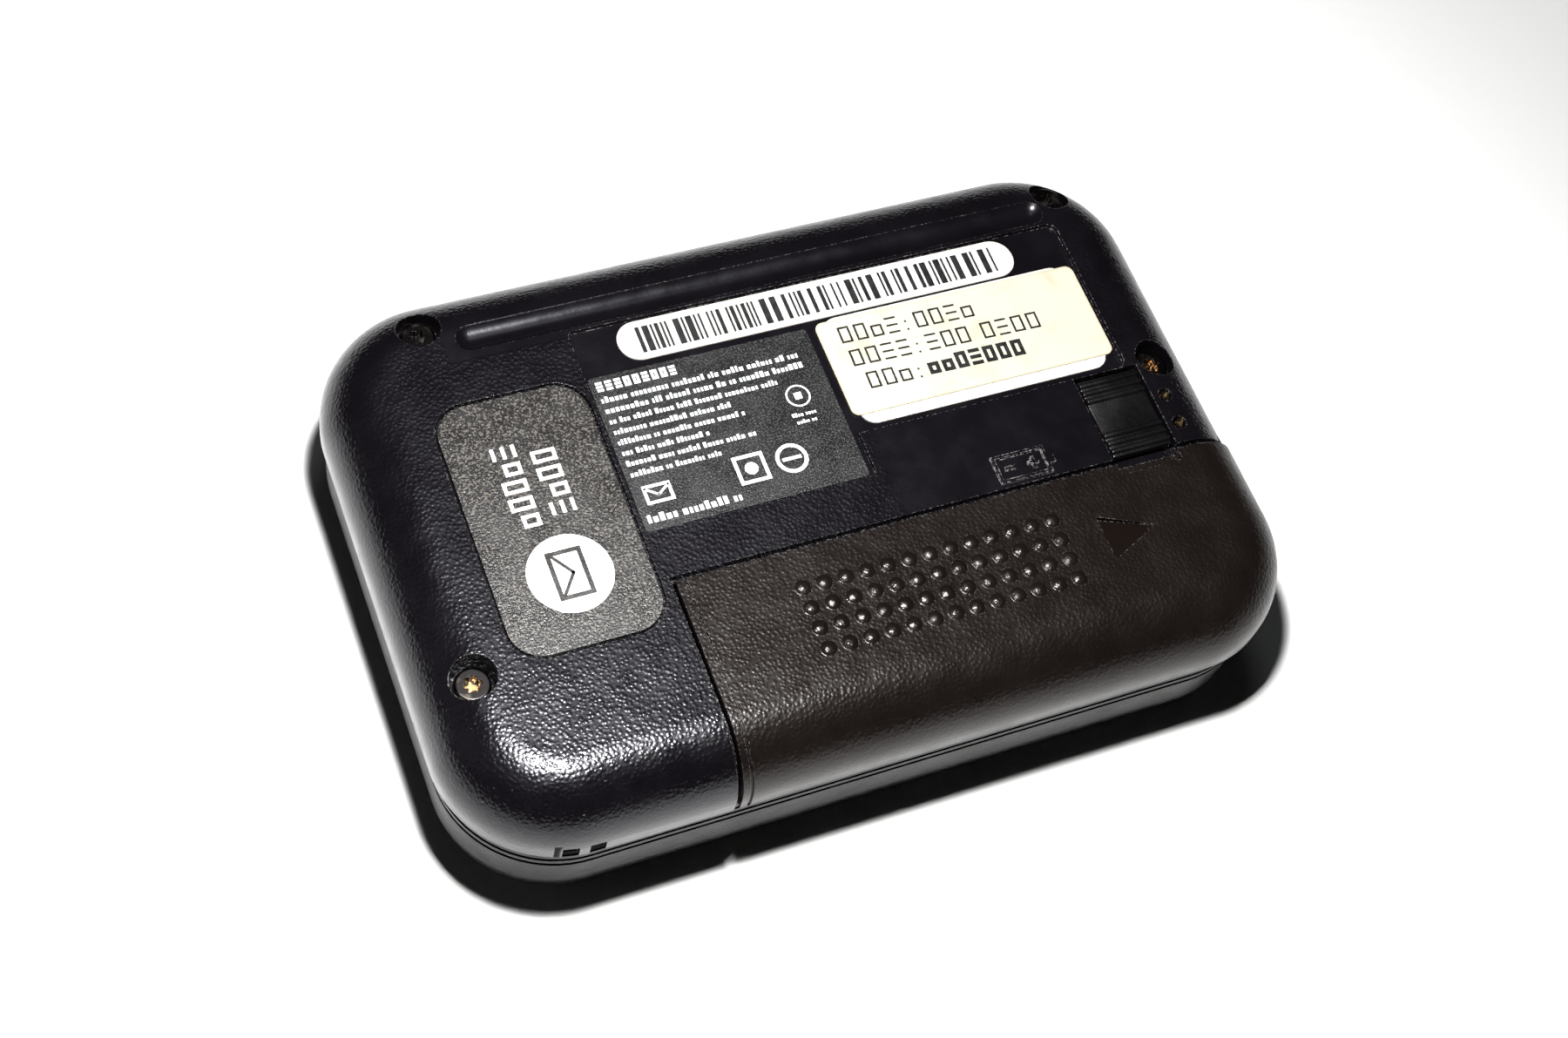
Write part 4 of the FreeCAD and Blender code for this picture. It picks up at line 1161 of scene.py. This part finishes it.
    def print_badge(self) -> None:
        """Prints two short rows and a round message sign on the badge."""
        face = Vector((*middle("badge_plate").xy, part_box("badge_plate")[1].z))
        sheet = Print(face, turn=90)
        writing = Writing(sheet, random.Random(23), 0.34 * MM)
        writing.word(-0.6 * MM, 0.75 * MM, 1.25 * MM, 2.2 * MM, 1.75 * MM, 5)
        writing.word(0.0 * MM, -2.55 * MM, 1.25 * MM, 2.2 * MM, 1.75 * MM, 4)
        sheet.disc(-self.sign_reach, 0.0, 3.75 * MM, sides=96)
        white = Ink("badge_ink", (0.80, 0.79, 0.77), (0.60, 0.58, 0.55))
        sheet.piece("badge_print", white, "case", "badge_film")
        sign = Print(face, turn=90)
        width, height = self.envelope
        line = 0.42 * MM
        left = -self.sign_reach - width / 2
        lower = -height / 2
        sign.frame_of(left, lower, width, height, line, layer=1)
        for start in (left + line, left + width - line):
            sign.stroke((start, lower + 2.7 * MM), (left + width / 2, lower + 1.3 * MM), 0.3 * MM,
                        layer=2)
        sign.piece("badge_sign", SparkPlastic("sign_ink", (0.012, 0.011, 0.010),
                                              (0.05, 0.046, 0.042), 0.17 * MM, 0.02 * MM),
                   "case", "badge_film")


@dataclass
class Fasteners:
    """The case screws, the two sprung contacts in the back and the keys' metal domes.

    Attributes:
        socket_depth: How far below the screws' tops their sockets are dark.
        worn_below: Y under which the sockets are worn to the bare metal.
    """

    socket_depth: float = 0.28 * MM
    worn_below: float = 8 * MM

    def build(self) -> None:
        """Dresses the screws and the contacts."""
        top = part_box("case_screws")[1].z
        dress(Metal("black_zinc", (0.022, 0.02, 0.02), (0.06, 0.052, 0.045), 0.3,
                    (1.0, 1.0, 0.2), top - self.socket_depth, bare_below=self.worn_below), "case_screws")
        dress(Metal("gold_flash", (0.86, 0.62, 0.25), (0.6, 0.42, 0.18), 0.2), "contact_pins",
              "dome_switches")


@dataclass
class Display:
    """The window in the front, the liquid-crystal cell and what holds it."""

    def build(self) -> None:
        """Dresses the display's pieces."""
        dress(ClearPanel("lens_clear", (0.86, 0.90, 0.88)), "display_lens")
        dress(ClearPanel("display_glass", (0.42, 0.50, 0.38), 0.45, 0.08), "lcd_glass")
        dress(Moulding("light_guide_white", (0.80, 0.84, 0.78), (0.72, 0.78, 0.70), 0.35),
              "backlight_panel")
        dress(Moulding("frame_grey", (0.05, 0.05, 0.052), (0.07, 0.07, 0.072), 0.5), "lcd_frame",
              "contact_block", "board_connector")
        dress(Moulding("strip_rubber", (0.35, 0.20, 0.18), (0.42, 0.26, 0.22), 0.6),
              "elastomer_strips")


@dataclass
class Keypad:
    """Seven keys with plain signs on their faces, and the sheet under them.

    Attributes:
        sign: Half the size of an arrow key's sign.
        stroke: Width of a sign's strokes.
    """

    sign: float = 0.75 * MM
    stroke: float = 0.28 * MM

    def build(self) -> None:
        """Dresses the keys and prints their signs."""
        keys = tuple(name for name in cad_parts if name.startswith("key_"))
        dress(Moulding("key_grey", (0.055, 0.056, 0.060), (0.07, 0.07, 0.075), 0.5), *keys)
        dress(Moulding("sheet_rubber", (0.16, 0.16, 0.17), (0.2, 0.2, 0.21), 0.6),
              "keypad_membrane")
        ink = Ink("sign_white", (0.75, 0.75, 0.73), (0.5, 0.5, 0.48))
        for name in keys:
            sheet = Print(Vector((*middle(name).xy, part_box(name)[0].z)), faces_down=True)
            self.draw(sheet, name)
            sheet.piece(name + "_sign", ink, name, "key_rubber")

    def draw(self, sheet: Print, name: str) -> None:
        """Draws one key's sign."""
        size = self.sign
        if name in ("key_menu", "key_read"):
            sheet.block(-1.6 * size, -self.stroke / 2, 3.2 * size, self.stroke)
        elif name == "key_select":
            sheet.ring(0.0, 0.0, size, self.stroke)
        else:
            turns = {"key_up": 270, "key_down": 90, "key_left": 0, "key_right": 180}
            sheet.disc(0.0, 0.0, size, sides=3, turn=turns[name])


@dataclass
class InnerWorks:
    """The boards and everything that is soldered or clipped to them."""

    def build(self) -> None:
        """Dresses the inner pieces."""
        dress(SolderMask("solder_mask", (0.006, 0.06, 0.028), (0.03, 0.16, 0.07)),
              "logic_board", "receiver_board")
        dress(Moulding("chip_black", (0.02, 0.02, 0.021), (0.028, 0.028, 0.03), 0.55), "board_chips")
        tin = Metal("tin_plate", (0.70, 0.70, 0.69), (0.55, 0.55, 0.54), 0.3)
        dress(tin, "receiver_shield", "crystal")
        dress(Metal("antenna_brass", (0.80, 0.62, 0.32), (0.6, 0.44, 0.22), 0.28), "loop_antenna")
        dress(Moulding("buzzer_black", (0.03, 0.03, 0.03), (0.04, 0.04, 0.042), 0.45), "sounder")
        dress(Metal("motor_can", (0.66, 0.66, 0.66), (0.5, 0.5, 0.5), 0.25, (0.1, 1, 1)),
              "vibration_motor", "motor_shaft")
        dress(Metal("sintered", (0.36, 0.36, 0.38), (0.28, 0.28, 0.29), 0.45, (1, 1, 1)),
              "eccentric_weight")
        dress(Moulding("boot_rubber", (0.04, 0.04, 0.042), (0.05, 0.05, 0.052), 0.7), "motor_boot")


# ------------------------------------------------------------------ stage and camera
@dataclass(frozen=True)
class Lamp:
    """Square light that points at a target.

    Attributes:
        name: Its name.
        place: Where it stands.
        target: Where it points.
        size: Its width.
        power: Its power in watts.
        colour: Its colour.
    """

    name: str
    place: tuple[float, float, float]
    target: tuple[float, float, float]
    size: float
    power: float
    colour: Colour = (1.0, 1.0, 1.0)

    def build(self) -> None:
        """Adds the light, unseen by the camera itself."""
        light = bpy.data.lights.new(self.name, "AREA")
        light.size = self.size
        light.energy = self.power
        light.color = self.colour
        lamp = bpy.data.objects.new(self.name, light)
        lamp.location = self.place
        aim = Vector(self.target) - Vector(self.place)
        lamp.rotation_euler = aim.to_track_quat("-Z", "Y").to_euler()
        lamp.visible_camera = False
        bpy.context.scene.collection.objects.link(lamp)


@dataclass(frozen=True)
class Studio:
    """Pale floor, the lights and the camera.

    Attributes:
        camera_place: Where the camera stands.
        azimuth: Its heading from +Y towards +X, in degrees.
        elevation: How far it looks down, in degrees.
        roll: Its roll to the left, in degrees.
        lens: Its focal length in millimetres on a 36 mm wide frame.
        floor_size: Width of the floor.
        sky: Brightness of the surroundings.
        lamps: A small hard key light, a cool sheen from above and a wide weak fill.
    """

    camera_place: tuple[float, float, float] = (-66.89 * MM, -87.99 * MM, 190.68 * MM)
    azimuth: float = 36.70
    elevation: float = 59.03
    roll: float = 18.01
    lens: float = 53.16
    floor_size: float = 6.0
    sky: float = 0.006
    lamps: tuple[Lamp, ...] = (
        Lamp("key", (-28 * MM, -12 * MM, 156 * MM), (0.0, 0.0, 0.0), 14 * MM, 0.7),
        Lamp("sheen", (28 * MM, 95 * MM, 280 * MM), (-20 * MM, -10 * MM, 0.0), 60 * MM, 0.02,
             (0.95, 0.97, 1.0)),
        Lamp("left_fill", (-380 * MM, 60 * MM, 220 * MM), (0.0, 0.0, 0.0), 200 * MM, 0.02,
             (0.9, 0.95, 1.0)),
    )

    def build(self) -> None:
        """Builds the stage, the lights and the camera."""
        self.lay_floor()
        for lamp in self.lamps:
            lamp.build()
        world = bpy.data.worlds.new("surroundings")
        world.use_nodes = True
        background = world.node_tree.nodes["Background"]
        background.inputs["Color"].default_value = (0.95, 0.97, 1.0, 1.0)
        background.inputs["Strength"].default_value = self.sky
        bpy.context.scene.world = world
        bpy.context.scene.view_settings.view_transform = "Standard"
        self.place_camera()

    def lay_floor(self) -> None:
        """Lays the floor just under the object."""
        mesh = bmesh.new()
        bmesh.ops.create_grid(mesh, x_segments=8, y_segments=8, size=self.floor_size / 2,
                              matrix=Matrix.Translation((0, 0, -0.01 * MM)))
        data = bpy.data.meshes.new("floor")
        mesh.to_mesh(data)
        mesh.free()
        data.materials.append(PaleFloor().make())
        floor = bpy.data.objects.new("floor", data)
        bpy.context.scene.collection.objects.link(floor)

    def place_camera(self) -> None:
        """Makes the camera and gives it to the scene."""
        camera = bpy.data.cameras.new("camera")
        camera.lens = self.lens
        camera.sensor_width = 36.0
        camera.clip_start = 0.01
        camera.clip_end = 20.0
        azimuth, elevation = math.radians(self.azimuth), math.radians(self.elevation)
        ahead = Vector((math.sin(azimuth) * math.cos(elevation),
                        math.cos(azimuth) * math.cos(elevation), -math.sin(elevation)))
        holder = bpy.data.objects.new("camera", camera)
        holder.rotation_mode = "QUATERNION"
        holder.location = self.camera_place
        roll = Quaternion((0, 0, 1), math.radians(self.roll))
        holder.rotation_quaternion = ahead.to_track_quat("-Z", "Y") @ roll
        bpy.context.scene.collection.objects.link(holder)
        bpy.context.scene.camera = holder


def main() -> None:
    """Builds the pager's sub-assemblies in order, then the studio."""
    logging.basicConfig(level=logging.INFO, format="%(name)s: %(message)s")
    for part in (CaseShells(), BatteryDoor(), DoorLatch(), StuckLabels(), Fasteners(), Display(),
                 Keypad(), InnerWorks(), Studio()):
        part.build()


if __name__ == "__main__":
    main()
